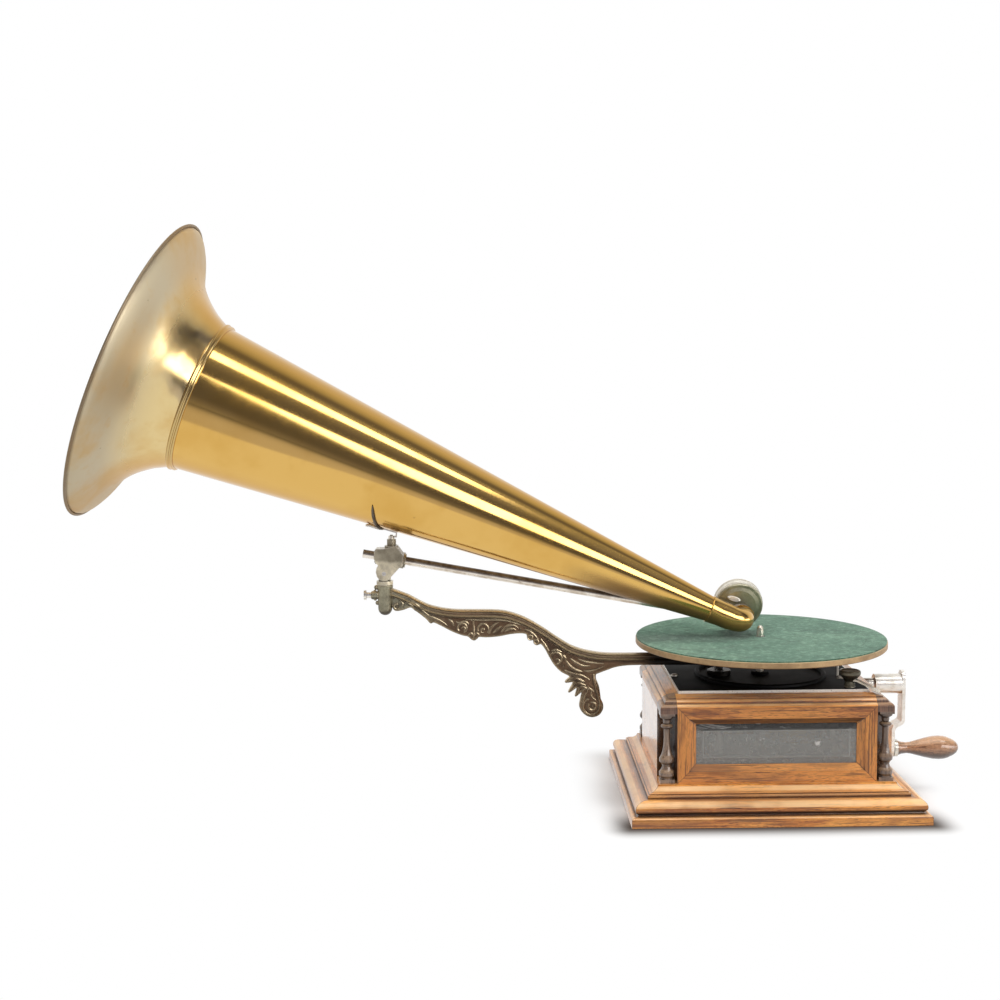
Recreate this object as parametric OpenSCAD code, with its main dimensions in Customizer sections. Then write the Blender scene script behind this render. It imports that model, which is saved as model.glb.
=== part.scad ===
// Front mount disc talking machine: glazed oak case, brass horn on a cast scroll arm, spring motor.
// Origin: middle of the underside. +X crank side, -X horn side, -Y the front window, +Z up.

/* [Case] */
// Half width of the plinth
plinth_hw = 143.9; // [142:0.1:156]
// Half depth of the plinth
plinth_hd = 125.7; // [122:0.1:138]
// Thickness of the motor board
board_t = 2.6; // [2:0.1:3.4]

/* [Turntable] */
// Radius of the turntable
platter_r = 127; // [118:0.5:129]
// Thickness of the felt
felt_t = 1.2; // [0.8:0.1:1.4]
// Radius of the record pin
pin_r = 3.6; // [3.2:0.05:3.8]

/* [Horn] */
// Radius of the cone at the joint ring
horn_ring_r = 75.7; // [72:0.1:80]
// Radius of the bell mouth
bell_r = 156; // [140:0.5:170]
// Sheet thickness of the horn
sheet_t = 0.6; // [0.5:0.05:0.8]

/* [Sound box] */
// Radius of the sound box
box_r = 24; // [22:0.5:26]

/* [Crank] */
// Radius of the crank shaft
shaft_r = 3.2; // [2.6:0.1:3.4]
// Throw of the crank
crank_throw = 67.8; // [58:0.1:76]

/* [Fits] */
// Radial clearance of a running fit
run = 0.05; // [0.02:0.01:0.09]
// Thinning of every gear tooth
backlash = 0.13; // [0.1:0.01:0.2]

/* [Hidden] */
$fn = 64;
dx = plinth_hw - 143.9;
dy = plinth_hd - 125.7;
plinth_top = 34.5;
cornice_z = 103.2;
cornice_top = 118.6;
board_z = cornice_top;
board_top = board_z + board_t;
frame_hw = 97 + dx;
frame_fy = plinth_hd - 30.5;
frame_by = frame_fy - 16;
body_hw = plinth_hw - 30.5;
panel_hd = 68 + dy;
platter_z = 153;
horn_pitch = 23.03;
horn_yaw = -1.72;
horn_end_r = 11.49;
box_t = 15;
crank_z = 109.3;
bracket_x = -383;
seat_x = 8;
seat_z = 327.4;
cone_lo = -364;
elbow_s = -372;
elbow_r = 12.4;
neck_y = 7.6;
plate_back = 2.5;
disc_z = 7;
cone_hi = 206;
pivot_z = 229.5;
felt_z = 159 + felt_t;
pin_wall = 4;
rod_slope = 10.1;
rod_y = 18.5;
box_tilt = 12;
box_x = 363.2;
box_y = 25.1;
box_z = 188.8;
wheel_n = 72;
pinion_n = 12;
drive_m = 36 * 2 / (wheel_n + pinion_n);
barrel_x = 36;
spin_n = 96;
gov_n = 11;
gov_m = 0.6;
gov_a = 150;
gov_c = gov_m * (spin_n + gov_n) / 2;
gov_x = gov_c * cos(gov_a);
gov_y = gov_c * sin(gov_a);
wind_n = 24;
crown_n = 10;
plate_z = 44;
plate_t = 3.2;

plinth_profile = [[0, 0], [0, 7.4], [0.4, 8.4], [1.4, 9.1], [3, 9.5], [5.2, 9.7], [6.4, 10.2],
    [6.8, 11], [6.6, 11.9], [5.6, 12.6], [4.6, 13.4], [4.1, 14.6], [3.9, 16.2], [4.1, 17.8],
    [4.8, 19.5], [6, 20.9], [7.8, 22], [10, 22.8], [12.6, 23.3], [15, 23.5], [17, 23.6], [17, 26.8],
    [18.8, 27], [18.8, 28], [20.2, 28.2], [22.6, 28.8], [24.8, 29.9], [26.6, 31.3], [27.8, 33],
    [28.2, plinth_top]];
cornice_profile = [[30.5, cornice_z], [30.5, 108.2], [30.8, 109.3], [31.6, 110.4], [32.8, 111.2],
    [34.3, 111.6], [35.3, 111.7], [35.3, 113], [35.7, 114], [36.6, 114.9], [38, 115.5], [39.6, 115.7],
    [39.6, 116.9], [41, 117.1], [44, 117.5], [46.4, 118], [48, cornice_top]];
column_profile = [[0, 38], [6.8, 38], [6.8, 39.4], [7.2, 40.4], [7.6, 41.6], [7.6, 44.5],
    [6.8, 45.8], [5.5, 47.3], [4.4, 50.2], [5, 52.5], [6.2, 53.9], [7.2, 55], [7.5, 56.6], [7.3, 58.2],
    [6.3, 60], [5.4, 61.6], [4.6, 64], [4, 66.7], [3.4, 70.4], [3.1, 74.7], [3, 81], [3, 87.2],
    [4.5, 88.2], [5.7, 89.2], [6, 90.2], [5.5, 91.2], [4, 91.8], [3, 92.3], [3.5, 93.2],
    [3.7, 94.4], [3.7, 96.2], [4.2, 97], [5.4, 97.7], [6.6, 98.7], [6.8, 100], [6.8, 101.2], [0, 101.2]];
bell_curve = [[206.02, 0.05], [211, 1.75], [217, 4.7], [224, 8.6], [231, 13.7], [238, 19.5],
    [245, 26.6], [251, 34.3], [256, 43.3], [260.5, 54.3], [265, 65.9], [270, 75], [274, 79.4],
    [275.8, 81.3]];
bell_profile = [for (p = bell_curve) [p[0], horn_ring_r + p[1] * (bell_r - horn_ring_r) / 81.3]];
pillar_spots = [[70, 30], [70, -30], [-46, -28], [-50, 36]];
screw_spots = [[-86 - dx, 67 + dy], [86 + dx, 67 + dy], [88 + dx, -36],
    [-88.5 - dx, -6], [88.5 + dx, 10]];
arm_top = [[-383, 215.4], [-376, 213.6], [-369, 211], [-359, 207], [-350, 202], [-340, 197],
    [-330, 194], [-319, 192], [-307, 191], [-291, 190.8], [-272, 190.4], [-260, 189], [-248, 185.4],
    [-237, 180.4], [-223, 172], [-213, 165], [-204, 159], [-194, 153], [-182, 148.6], [-168, 145.6],
    [-155, 144.3], [-135, 144], [-42, 144]];
arm_under = [[-42, 136], [-135, 136.6], [-155, 137], [-168, 138], [-182, 140.8], [-194, 144.8],
    [-204, 150.6], [-213, 156.8], [-223, 163.6], [-237, 172], [-248, 177], [-260, 180.6],
    [-272, 182], [-291, 182.6], [-307, 183], [-319, 184], [-330, 186], [-340, 189], [-350, 193.6],
    [-359, 198.6], [-369, 203], [-376, 205.4], [-383, 206]];
web_under = [[-370, 193], [-367, 190.6], [-361, 192.4], [-356, 194], [-350, 188], [-341, 182],
    [-336, 177.4], [-332, 178.8], [-325, 174], [-315, 169], [-305, 165], [-297, 162], [-293, 159.6],
    [-288, 162], [-280, 163], [-268, 163.4], [-256, 165], [-245, 166], [-238, 163], [-235, 159],
    [-231, 158], [-228, 153], [-224, 155], [-220, 150], [-216, 142], [-211, 133], [-204, 125.4],
    [-195, 121], [-198, 114.4], [-191.6, 114.6], [-196, 104.2], [-187.4, 109], [-189, 100],
    [-182, 104.6], [-185, 93], [-181, 84], [-172, 78.4], [-163.6, 82], [-161.6, 89], [-164, 96],
    [-164, 101], [-166, 111], [-169, 121], [-166, 124], [-157, 127.4], [-147, 132], [-42, 132]];

function flip(p) = [for (i = [len(p) - 1 : -1 : 0]) p[i]];
function inv(a) = tan(a) * 180 / PI - a;
function tooth_half(n, m, r) =
    90 / n - backlash / (m * n) * 180 / PI + inv(20) - inv(acos(min(1, m * n / 2 * cos(20) / r)));
function polar(r, a) = [r * cos(a), r * sin(a)];
function gear_points(n, m) = [for (i = [0 : n - 1]) let (
    a = i * 360 / n,
    rp = m * n / 2,
    rf = rp - 1.15 * m,
    rb = max(rf + 0.02, rp * cos(20) + 0.005),
    ra = rp + 0.85 * m,
    hb = tooth_half(n, m, rb),
    hp = tooth_half(n, m, rp),
    ha = tooth_half(n, m, ra))
    each [polar(rf, a - hb), polar(rb, a - hb), polar(rp, a - hp), polar(ra, a - ha),
        polar(ra, a + ha), polar(rp, a + hp), polar(rb, a + hb), polar(rf, a + hb)]];
function cone_at(s) = horn_end_r + (horn_ring_r - horn_end_r) * (s - cone_lo) / (cone_hi - cone_lo);

module moulded(profile, hw, hd) {
    across = concat([for (p = profile) [hw - p[0], p[1]]],
        [for (p = flip(profile)) [p[0] - hw, p[1]]]);
    along = concat([for (p = profile) [hd - p[0], p[1]]],
        [for (p = flip(profile)) [p[0] - hd, p[1]]]);
    intersection() {
        rotate([90, 0, 0]) linear_extrude(4 * hd, center = true) polygon(across);
        rotate([90, 0, 90]) linear_extrude(4 * hw, center = true) polygon(along);
    }
}

module span(x0, x1, y0, y1, z0, z1) {
    translate([x0, y0, z0]) cube([x1 - x0, y1 - y0, z1 - z0]);
}

module tube(r, bore, h) {
    difference() {
        cylinder(r = r, h = h);
        translate([0, 0, -1]) cylinder(r = bore, h = h + 2);
    }
}

module along_x(x0) {
    translate([x0, 0, 0]) rotate([0, 90, 0]) children();
}

module slab_y(half) {
    rotate([90, 0, 0]) linear_extrude(2 * half, center = true) children();
}

module gear(n, m, h) {
    linear_extrude(h) polygon(gear_points(n, m));
}

module at_bracket() {
    translate([bracket_x, 0, 0]) rotate([0, 0, horn_yaw]) children();
}

module on_horn() {
    at_bracket() translate([seat_x, 0, seat_z]) rotate([0, horn_pitch - 90, 0]) children();
}

module at_box() {
    at_bracket() translate([box_x, box_y, box_z]) rotate([box_tilt - 90, 0, 0]) children();
}

module plinth() {
    color("peru") difference() {
        moulded(plinth_profile, plinth_hw, plinth_hd);
        span(-100 - dx, 100 + dx, -82 - dy, 82 + dy, -1, 60);
        span(-108 - dx, 108 + dx, -90 - dy, 90 + dy, -1, 6);
    }
}

module floor_board() {
    color("tan") span(-108 - dx, 108 + dx, -90 - dy, 90 + dy, 0, 6);
}

module side_panel(s) {
    color("sienna") turned(s) {
        span(frame_hw, body_hw, -panel_hd, panel_hd, plinth_top, cornice_z);
        span(frame_hw - 9, frame_hw + 0.01, -frame_by, frame_by, plinth_top, cornice_z);
    }
}

module turned(s) {
    if (s > 0) children();
    else rotate([0, 0, 180]) children();
}

module window_frame(s) {
    sight_w = 78.2 + dx;
    outer_w = 85.3 + dx;
    color("peru") turned(s) difference() {
        span(-frame_hw, frame_hw, frame_by, frame_fy, plinth_top, 109);
        intersection() {
            linear_extrude(200) polygon([[-sight_w, frame_by - 1], [sight_w, frame_by - 1],
                [sight_w, frame_fy - 5.2], [outer_w, frame_fy - 1.3], [outer_w, frame_fy + 1],
                [-outer_w, frame_fy + 1], [-outer_w, frame_fy - 1.3], [-sight_w, frame_fy - 5.2]]);
            rotate([90, 0, 90]) linear_extrude(300, center = true) polygon([[frame_by - 1, 51.7],
                [frame_fy - 5.2, 51.7], [frame_fy - 1.3, 45.8], [frame_fy + 1, 45.8],
                [frame_fy + 1, 97.7], [frame_fy - 1.3, 97.7], [frame_fy - 5.2, 92], [frame_by - 1, 92]]);
        }
        span(-82.3 - dx, 82.3 + dx, frame_by - 1, frame_fy - 5.8, 47.6, 96.1);
    }
}

module window_glass(s) {
    seat = frame_fy - 5.8;
    edge = 82.2 + dx;
    flat = 71.2 + dx;
    color("lightblue", 0.4) turned(s) intersection() {
        linear_extrude(200) polygon([[-edge, seat - 4], [edge, seat - 4], [edge, seat - 0.9],
            [flat, seat + 1.6], [-flat, seat + 1.6], [-edge, seat - 0.9]]);
        rotate([90, 0, 90]) linear_extrude(300, center = true) polygon([[seat - 4, 47.7],
            [seat - 0.9, 47.7], [seat + 1.6, 58.7], [seat + 1.6, 85], [seat - 0.9, 96], [seat - 4, 96]]);
    }
}

module column(sx, sy) {
    color("dimgray") translate([sx * (106.3 + dx), sy * (88.1 + dy), 0]) {
        rotate_extrude() polygon(column_profile);
        span(-7.1, 7.1, -7.1, 7.1, plinth_top, 38.2);
        span(-7.1, 7.1, -7.1, 7.1, 101, cornice_z);
    }
}

module cornice_ring() {
    difference() {
        moulded(cornice_profile, plinth_hw, plinth_hd);
        span(-86 - dx, 86 + dx, -67.7 - dy, 67.7 + dy, 90, 130);
    }
}

module cornice_long(s) {
    color("peru") turned(s) intersection() {
        cornice_ring();
        span(-frame_hw, frame_hw, 67.7 + dy, 160, 109, 130);
    }
}

module cornice_side(s) {
    color("peru") turned(s) difference() {
        intersection() {
            cornice_ring();
            union() {
                span(frame_hw, 160, -panel_hd, panel_hd, 90, 130);
                span(80, frame_hw + 0.01, -67.7 - dy, 67.7 + dy, 90, 130);
            }
        }
        if (s > 0) {
            translate([0, 0, crank_z]) along_x(79) cylinder(r = 4.5, h = 21 + dx);
            translate([0, 0, crank_z]) along_x(97 + dx) cylinder(r = 6, h = 30);
        }
    }
}

module cornice_block(sx, sy) {
    color("saddlebrown") intersection() {
        cornice_ring();
        translate([sx > 0 ? frame_hw : -200, sy > 0 ? panel_hd : -200, 90])
            cube([200 - frame_hw, 200 - panel_hd, 60]);
    }
}

module motor_board() {
    color("black") difference() {
        union() {
            span(-93.7 - dx, 93.7 + dx, -75.5 - dy, 75.5 + dy, board_z, board_top);
            translate([0, 0, board_top - 0.5]) rotate_extrude() polygon([[61.5, 0], [67, 0],
                [66.6, 2.6], [65.2, 3.8], [63.2, 3.8], [61.9, 2.6]]);
            translate([0, 0, board_z - 5]) cylinder(r = 9, h = board_t + 7.8);
            translate([barrel_x, 0, board_z - 4.6]) cylinder(r = 6, h = 5);
            translate([gov_x, gov_y, board_z - 4.6]) cylinder(r = 5, h = 5);
        }
        translate([0, 0, board_z - 6]) cylinder(r = 4 + run, h = 20);
        translate([barrel_x, 0, board_z - 6]) cylinder(r = 2.5 + run, h = 5.5);
        translate([gov_x, gov_y, board_z - 6]) cylinder(r = 1.5 + run, h = 5.5);
        translate([-44.8, 21, board_z - 1]) cylinder(r = 1.5 + run, h = 10);
        for (p = screw_spots)
            translate([p[0], p[1], board_z - 1]) cylinder(r = 2, h = 10);
        for (y = [-7, 7])
            translate([-42, y, board_z - 1]) cylinder(r = 2, h = 10);
        translate([77 + dx, -64 - dy, board_z - 1]) cylinder(r = 3, h = 10);
    }
}

module dome_screw(r, h, shank, depth) {
    difference() {
        union() {
            rotate_extrude() polygon([[0, 0], [r, 0], [r * 0.95, h * 0.45], [r * 0.7, h * 0.85],
                [r * 0.3, h], [0, h]]);
            translate([0, 0, -depth]) cylinder(r = shank, h = depth + 0.1);
        }
        translate([-r, -0.35, h - 0.7]) cube([2 * r, 0.7, 2]);
    }
}

module board_screws() {
    color("silver") {
        for (p = screw_spots)
            translate([p[0], p[1], board_top]) rotate([0, 0, p[1]]) dome_screw(4, 1.9, 1.95, board_t);
        for (y = [-7, 7])
            translate([-42, y, board_top + 4.8]) rotate([0, 0, 40 * y]) dome_screw(4, 2.2, 1.95, 7.4);
    }
}

module brake_post() {
    color("dimgray") difference() {
        union() {
            translate([77 + dx, -64 - dy, board_z]) cylinder(r = 3, h = 6);
            translate([77 + dx, -64 - dy, 0]) rotate_extrude() polygon([[0, board_top],
                [5.6, board_top], [5.4, board_top + 0.8], [5, board_top + 1.4], [5, 126.6], [5.6, 128],
                [7.6, 130.4], [9.6, 132.6], [10.5, 134.2], [10.5, 136.4], [9.9, 137.5], [8.4, 138],
                [7.6, 137.4], [0, 137.4]]);
        }
        brake_frame() span(-9, 9, -2.9, 2.9, -3.6, 2.8);
    }
    color("silver") brake_frame() rotate([90, 0, 0]) translate([0, 0, -4]) cylinder(r = 0.9, h = 8);
}

module brake_frame() {
    translate([77 + dx, -64 - dy, 129.4]) rotate([0, 0, -40]) children();
}

module brake_lever() {
    color("silver") brake_frame() {
        difference() {
            slab_y(2.6) polygon([[-13.4, 0.6], [-9, 0.7], [-2, 0.8], [0, 2.2], [2, 1.6], [9, -0.4],
                [20, -4], [31.6, -8], [31.2, -9.4], [19.6, -5.4], [8.6, -1.9], [1.6, -1.9], [0, -2.2],
                [-2, -0.8], [-9, -0.7], [-12, -1.6], [-15, -0.8], [-15, 23], [-13.4, 23]]);
            rotate([90, 0, 0]) translate([0, 0, -5]) cylinder(r = 0.9 + run, h = 10);
        }
        translate([-14.2, 0, 22.6]) cylinder(r = 3.4, h = 3.6);
    }
}

module support_arm() {
    color("darkkhaki") difference() {
        union() {
            translate([bracket_x, 0, 193]) cylinder(r1 = 7.1, r2 = 7.9, h = 24.4);
            translate([bracket_x, 0, 193]) sphere(r = 7.1);
            slab_y(4.4) polygon(concat(arm_top, arm_under));
            slab_y(3.1) polygon([for (p = concat(arm_top, arm_under)) [p[0], p[1] + (p[0] > -380 ? 0.9 : 0)]]);
            slab_y(5) polygon(concat([for (p = flip(arm_under)) [p[0], p[1] + 2.4]],
                [for (p = arm_under) [p[0], p[1] + 0.4]]));
            slab_y(2.4) polygon(concat([for (p = flip(arm_under)) [p[0], p[1] + 1]],
                flip(web_under)));
            translate([-42, 0, 132]) cylinder(r = 11, h = 12);
            translate([-42, 0, board_top]) cylinder(r = 12, h = 4.8);
            translate([-42, 0, board_top]) cylinder(r = 6, h = 16);
            translate([bracket_x - 14, 0, 206.6]) rotate([0, 90, 0]) cylinder(r = 4.2, h = 14);
            for (z = [198, 215])
                translate([bracket_x - 8.6, 0, z]) sphere(r = 2.4);
            scroll_relief();
        }
        translate([bracket_x, 0, 189.6]) cylinder(r = 5 + run, h = 40);
        translate([bracket_x - 20, 0, 206.6]) rotate([0, 90, 0]) cylinder(r = 1.8 + run, h = 17);
        for (y = [-7, 7])
            translate([-42, y, board_top - 1]) cylinder(r = 2, h = 7);
        for (y = [-7, 7])
            translate([-42, y, board_top + 4.8]) cylinder(r = 4.4, h = 40);
    }
}

module curl(x, z, r, w, a0, a) {
    translate([x, 0, z]) rotate([90, 0, 0]) rotate([0, 0, a0])
        rotate_extrude(angle = a) translate([r - w / 2, -3.3]) square([w, 6.6]);
}

module scroll_relief() {
    curl(-364, 196, 3.2, 1.6, 40, 270);
    curl(-300, 171, 5.4, 2, 20, 250);
    curl(-286, 171.6, 4.4, 1.8, -160, 250);
    curl(-262, 168, 9, 1.8, 60, 80);
    curl(-250, 169, 8, 1.6, 70, 70);
    curl(-209, 141, 6.4, 2, 10, 260);
    curl(-196, 130, 12, 2, 60, 80);
    curl(-190, 124, 16, 2, 50, 70);
    curl(-172.6, 89.6, 7.6, 2.6, 60, 280);
    curl(-172.6, 89.6, 3, 1.8, 180, 250);
    curl(-186, 106, 14, 2, -50, 70);
    curl(-200, 110, 30, 1.8, -24, 40);
}

module arm_thumbscrew() {
    color("silver") translate([bracket_x, 0, 206.6]) rotate([0, -90, 0]) {
        translate([0, 0, 5.2]) cylinder(r = 1.8, h = 14);
        translate([0, 0, 14.2]) cylinder(r = 3, h = 5);
        difference() {
            translate([0, 0, 18.8]) cylinder(r = 5, h = 2.6);
            for (a = [0 : 30 : 330])
                rotate([0, 0, a]) translate([5.4, 0, 18]) cylinder(r = 0.8, h = 5, $fn = 16);
        }
    }
}

module swivel_post() {
    color("gray") at_bracket() {
        translate([0, 0, 190]) cylinder(r = 5, h = 28);
        translate([0, 0, 217.5]) cylinder(r = 8.4, h = 3.9);
        difference() {
            union() {
                translate([0, 0, pivot_z]) rotate([90, 0, 0]) cylinder(r = 6.5, h = 7, center = true);
                span(-6, 6, -3.5, 3.5, 221, pivot_z);
            }
            translate([0, 0, pivot_z]) rotate([90, 0, 0]) cylinder(r = 2 + run, h = 20, center = true);
        }
    }
}

module rod_line() {
    at_bracket() translate([0, rod_y, 242.6]) rotate([0, 90 + rod_slope, 0]) children();
}

module swivel_head() {
    color("gray") difference() {
        union() {
            at_bracket() {
                slab_y(8) polygon([[-8.3, 231.4], [-7, 226], [6.8, 226], [15.5, 235.3], [18, 236],
                    [19.6, 248], [15, 254.6], [11.7, 257.7], [-1, 254.8], [-8.3, 254.7],
                    [-9.9, 252], [-10.1, 245], [-8.8, 241.4], [-5.9, 237.8], [-7.4, 235.8]]);
                translate([0, 0, pivot_z]) rotate([90, 0, 0]) cylinder(r = 7.5, h = 16, center = true);
                translate([7.4, 0, 250]) cylinder(r = 4.6, h = 14);
                translate([7.4, 0, 250]) cylinder(r = 7, h = 7.6);
                translate([7.4, 0, 262]) cylinder(r = 1.5, h = 6.4);
                translate([4, 4, 244]) rotate([-90, 0, 0]) cylinder(r = 10.4, h = 12);
            }
            rod_line() translate([0, 0, -10]) cylinder(r = 8.4, h = 29);
            rod_line() translate([0, 0, -11]) cylinder(r = 7.2, h = 31.4);
        }
        rod_line() translate([0, 0, -30]) cylinder(r = 4.35, h = 70);
        at_bracket() {
            translate([0, 0, pivot_z]) rotate([90, 0, 0]) cylinder(r = 7.6, h = 7.2, center = true);
            span(-20, 20, -3.6, 3.6, 220, pivot_z);
            span(-20, 20, -3.6, 3.6, 220, pivot_z + 6);
            translate([0, 0, pivot_z]) rotate([90, 0, 0]) cylinder(r = 2, h = 30, center = true);
        }
    }
}

module pivot_screw() {
    color("dimgray") at_bracket() translate([0, -8, pivot_z]) rotate([90, 0, 0]) {
        difference() {
            translate([0, 0, -15.8]) cylinder(r = 2, h = 16.4);
            translate([-3, -0.35, 0.1]) cube([6, 0.7, 2]);
        }
    }
}

module travelling_arm() {
    color("silver") {
        rod_line() translate([0, 0, -24]) cylinder(r = 4.3, h = 354);
        rod_line() translate([0, 0, 329]) cylinder(r1 = 4.3, r2 = 2, h = 6);
        rod_line() translate([0, 0, 334]) cylinder(r = 2, h = 22);
        at_box() translate([0, neck_y, -9.6]) tube(12.5, 8.03, 4.4);
    }
}

module horn_cone() {
    color("gold") on_horn() rotate_extrude($fn = 96) polygon([
        [cone_at(cone_lo), cone_lo], [horn_ring_r, cone_hi],
        [horn_ring_r - sheet_t, cone_hi], [cone_at(cone_lo) - sheet_t, cone_lo]]);
}

module joint_ring() {
    r = horn_ring_r;
    color("gold") on_horn() rotate_extrude($fn = 96) polygon([[r - 0.34, 202.8], [r + 1.4, 203],
        [r + 2.1, 203.9], [r + 1.8, 204.9], [r + 1.1, 205.4], [r + 2.4, 206.4], [r + 2.9, 207.6],
        [r + 2.6, 208.8], [r + 1.7, 209.6], [r + 1.5, 209.6], [r + 0.1, 206.04], [r + 0.02, 205.9]]);
}

module horn_bell() {
    inner = [for (p = flip(bell_profile)) [p[1] - (p[0] > 255 ? 0.35 : 0.85) * sheet_t,
        p[0] + (p[0] > 255 ? 0.9 : 0.4) * sheet_t]];
    color("gold") on_horn() rotate_extrude($fn = 96) union() {
        polygon(concat([for (p = bell_profile) [p[1], p[0]]],
            inner));
        translate([bell_r - 0.2, 276.2]) circle(r = 1.2, $fn = 20);
    }
}

module horn_lug() {
    color("silver") {
        on_horn() rotate([0, 0, 180]) translate([cone_at(-12), 0, -12])
            rotate([0, 6.43, 0]) translate([0.02, -4, -15]) cube([1.2, 8, 30]);
        at_bracket() {
            translate([7.4, 0, 264.2]) tube(3.1, 1.52, 3);
            slab_y(3) polygon([[10, 267.2], [11.8, 267.2], [12.3, 271], [13.3, 270.6],
                [12.9, 265.9], [10, 265.9]]);
        }
    }
}

module horn_elbow() {
    r = elbow_r;
    color("gold") {
        on_horn() rotate_extrude() polygon([[r - 0.5, elbow_s - 1.6], [r - 0.5, cone_lo - 2],
            [cone_at(cone_lo) + 0.05, cone_lo - 0.02], [cone_at(cone_lo + 15) + 0.05, cone_lo + 15],
            [cone_at(cone_lo + 15) + 0.6, cone_lo + 15], [r + 0.6, cone_lo + 2],
            [r + 0.6, elbow_s - 1.6]]);
        elbow_bend(r, r - 0.9);
        at_box() translate([0, neck_y, -12.6]) tube(r + 0.5, 8.03, 2.1);
    }
}

module elbow_bend(ro, ri) {
    turn = acos(-sin(horn_pitch) * sin(box_tilt));
    start = [seat_x - elbow_s * cos(horn_pitch), 0, seat_z + elbow_s * sin(horn_pitch)];
    a = [cos(horn_pitch), 0, -sin(horn_pitch)];
    b = [0, cos(box_tilt), sin(box_tilt)];
    side = (b - a * cos(turn)) / sin(turn);
    up = cross(a, side);
    at_bracket() translate(start)
        rotate([atan2(side[2], up[2]), asin(-a[2]), atan2(a[1], a[0])])
        translate([0, 14, 0]) rotate([0, 0, -90]) rotate_extrude(angle = turn) translate([14, 0])
            difference() {
                circle(r = ro, $fn = 48);
                circle(r = ri, $fn = 48);
            }
}

module sound_box_back() {
    color("gray") at_box() difference() {
        union() {
            cylinder(r1 = box_r - 0.8, r2 = box_r, h = 1);
            translate([0, 0, 0.9]) cylinder(r = box_r, h = plate_back - 0.9);
            translate([0, 0, -0.9]) cylinder(r1 = box_r - 7, r2 = box_r - 3, h = 1);
            translate([0, neck_y, -12.4]) cylinder(r = 8, h = 13);
        }
        translate([0, neck_y, -13]) cylinder(r = 6.4, h = 20);
    }
}

module sound_box_rim() {
    color("silver") at_box() difference() {
        union() {
            translate([0, 0, plate_back]) cylinder(r = box_r + 0.6, h = box_t - plate_back);
            translate([0, 0, plate_back + 2]) cylinder(r = box_r + 0.9, h = 3);
            translate([0, 0, box_t - 3]) cylinder(r = box_r + 0.9, h = 2.4);
        }
        translate([0, 0, 1]) cylinder(r = box_r - 2.5, h = box_t - 2);
        translate([0, 0, 1]) cylinder(r = box_r - 4.5, h = box_t + 2);
    }
}

module sound_box_gaskets() {
    color("saddlebrown") at_box() {
        translate([0, 0, plate_back]) tube(box_r - 2.52, box_r - 5, disc_z - plate_back);
        translate([0, 0, disc_z + 0.4]) tube(box_r - 2.52, box_r - 5, box_t - 1.4 - disc_z);
    }
}

module diaphragm() {
    color("wheat") at_box() translate([0, 0, disc_z]) cylinder(r = box_r - 2.6, h = 0.4);
}

module needle_bar() {
    top = box_t + 2.5;
    color("silver") at_box() difference() {
        union() {
            translate([0, 0, disc_z + 0.4]) cylinder(r = 0.9, h = top - disc_z);
            translate([0, 0, top - 1.1]) cylinder(r = 2, h = 2.2);
            span(-1.5, 1.5, 0, 24, top - 1.1, top + 1.1);
            span(-4, 4, box_r - 4.4, box_r - 1, box_t + 0.02, top);
            translate([0, 20.8, top]) rotate([-90, 0, 0]) cylinder(r = 2.7, h = 7.4);
        }
        span(-5, 5, box_r - 9, box_r + 1.6, box_t - 1, box_t + 0.02);
        translate([0, 22.4, top]) rotate([-90, 0, 0]) cylinder(r = 0.85, h = 10);
        translate([0, 26.6, top]) cylinder(r = 1.15, h = 10);
    }
}

module needle_screw() {
    color("silver") at_box() translate([0, 26.6, box_t]) {
        translate([0, 0, 3.42]) cylinder(r = 1.1, h = 5);
        difference() {
            translate([0, 0, 7]) cylinder(r = 3.6, h = 2.6);
            for (a = [0 : 40 : 320])
                rotate([0, 0, a]) translate([3.9, 0, 6]) cylinder(r = 0.6, h = 5, $fn = 16);
        }
    }
}

module needle() {
    color("silver") at_box() translate([0, 22.6, box_t + 2.5]) rotate([-90, 0, 0]) {
        cylinder(r = 0.82, h = 5.8);
        translate([0, 0, 5.8]) cylinder(r1 = 0.82, r2 = 0.12, h = 1.8);
    }
}

module crank_bush() {
    color("silver") translate([0, 0, crank_z]) difference() {
        union() {
            along_x(54) cylinder(r = 4.5, h = 45 + dx);
            along_x(97 + dx) cylinder(r = 6, h = 20.3);
        }
        along_x(50) cylinder(r = shaft_r + run, h = 80 + dx);
    }
}

module crank_shaft() {
    color("silver") translate([0, 0, crank_z]) {
        along_x(42) cylinder(r = shaft_r, h = 98 + dx);
        along_x(46.9) rotate([0, 0, 18]) gear(crown_n, 1, 2.2);
    }
}

module crank_arm() {
    color("silver") translate([dx, 0, crank_z]) difference() {
        union() {
            along_x(117.7) cylinder(r = 10, h = 27.5);
            intersection() {
                slab_y(20) polygon([[145.1, 20], [148.3, 20], [148.3, -36.5], [147.8, -39.2],
                    [146.2, -41.3], [143.8, -42.6], [140.9, -43.9], [139.1, -45.6], [138.3, -48.4],
                    [138.2, -90], [135, -90], [135, -47.6], [135.5, -44.8], [137, -42.5], [139.4, -41],
                    [142.2, -39.7], [144, -38.3], [144.9, -36.6], [145.1, -35]]);
                union() {
                    translate([0, 0, 5.4]) along_x(120) cylinder(r = 8.5, h = 40);
                    span(120, 160, -8.5, 8.5, -crank_throw, 5.4);
                    translate([0, 0, -crank_throw]) along_x(120) cylinder(r = 8.5, h = 40);
                }
            }
            translate([0, 0, -crank_throw]) along_x(136) cylinder(r = 2.2, h = 60);
        }
        along_x(110) cylinder(r = shaft_r, h = 30);
    }
}

module crank_ferrule() {
    color("silver") translate([dx, 0, crank_z - crank_throw]) along_x(138.8) tube(8.9, 2.2 + run, 3.5);
}

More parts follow.
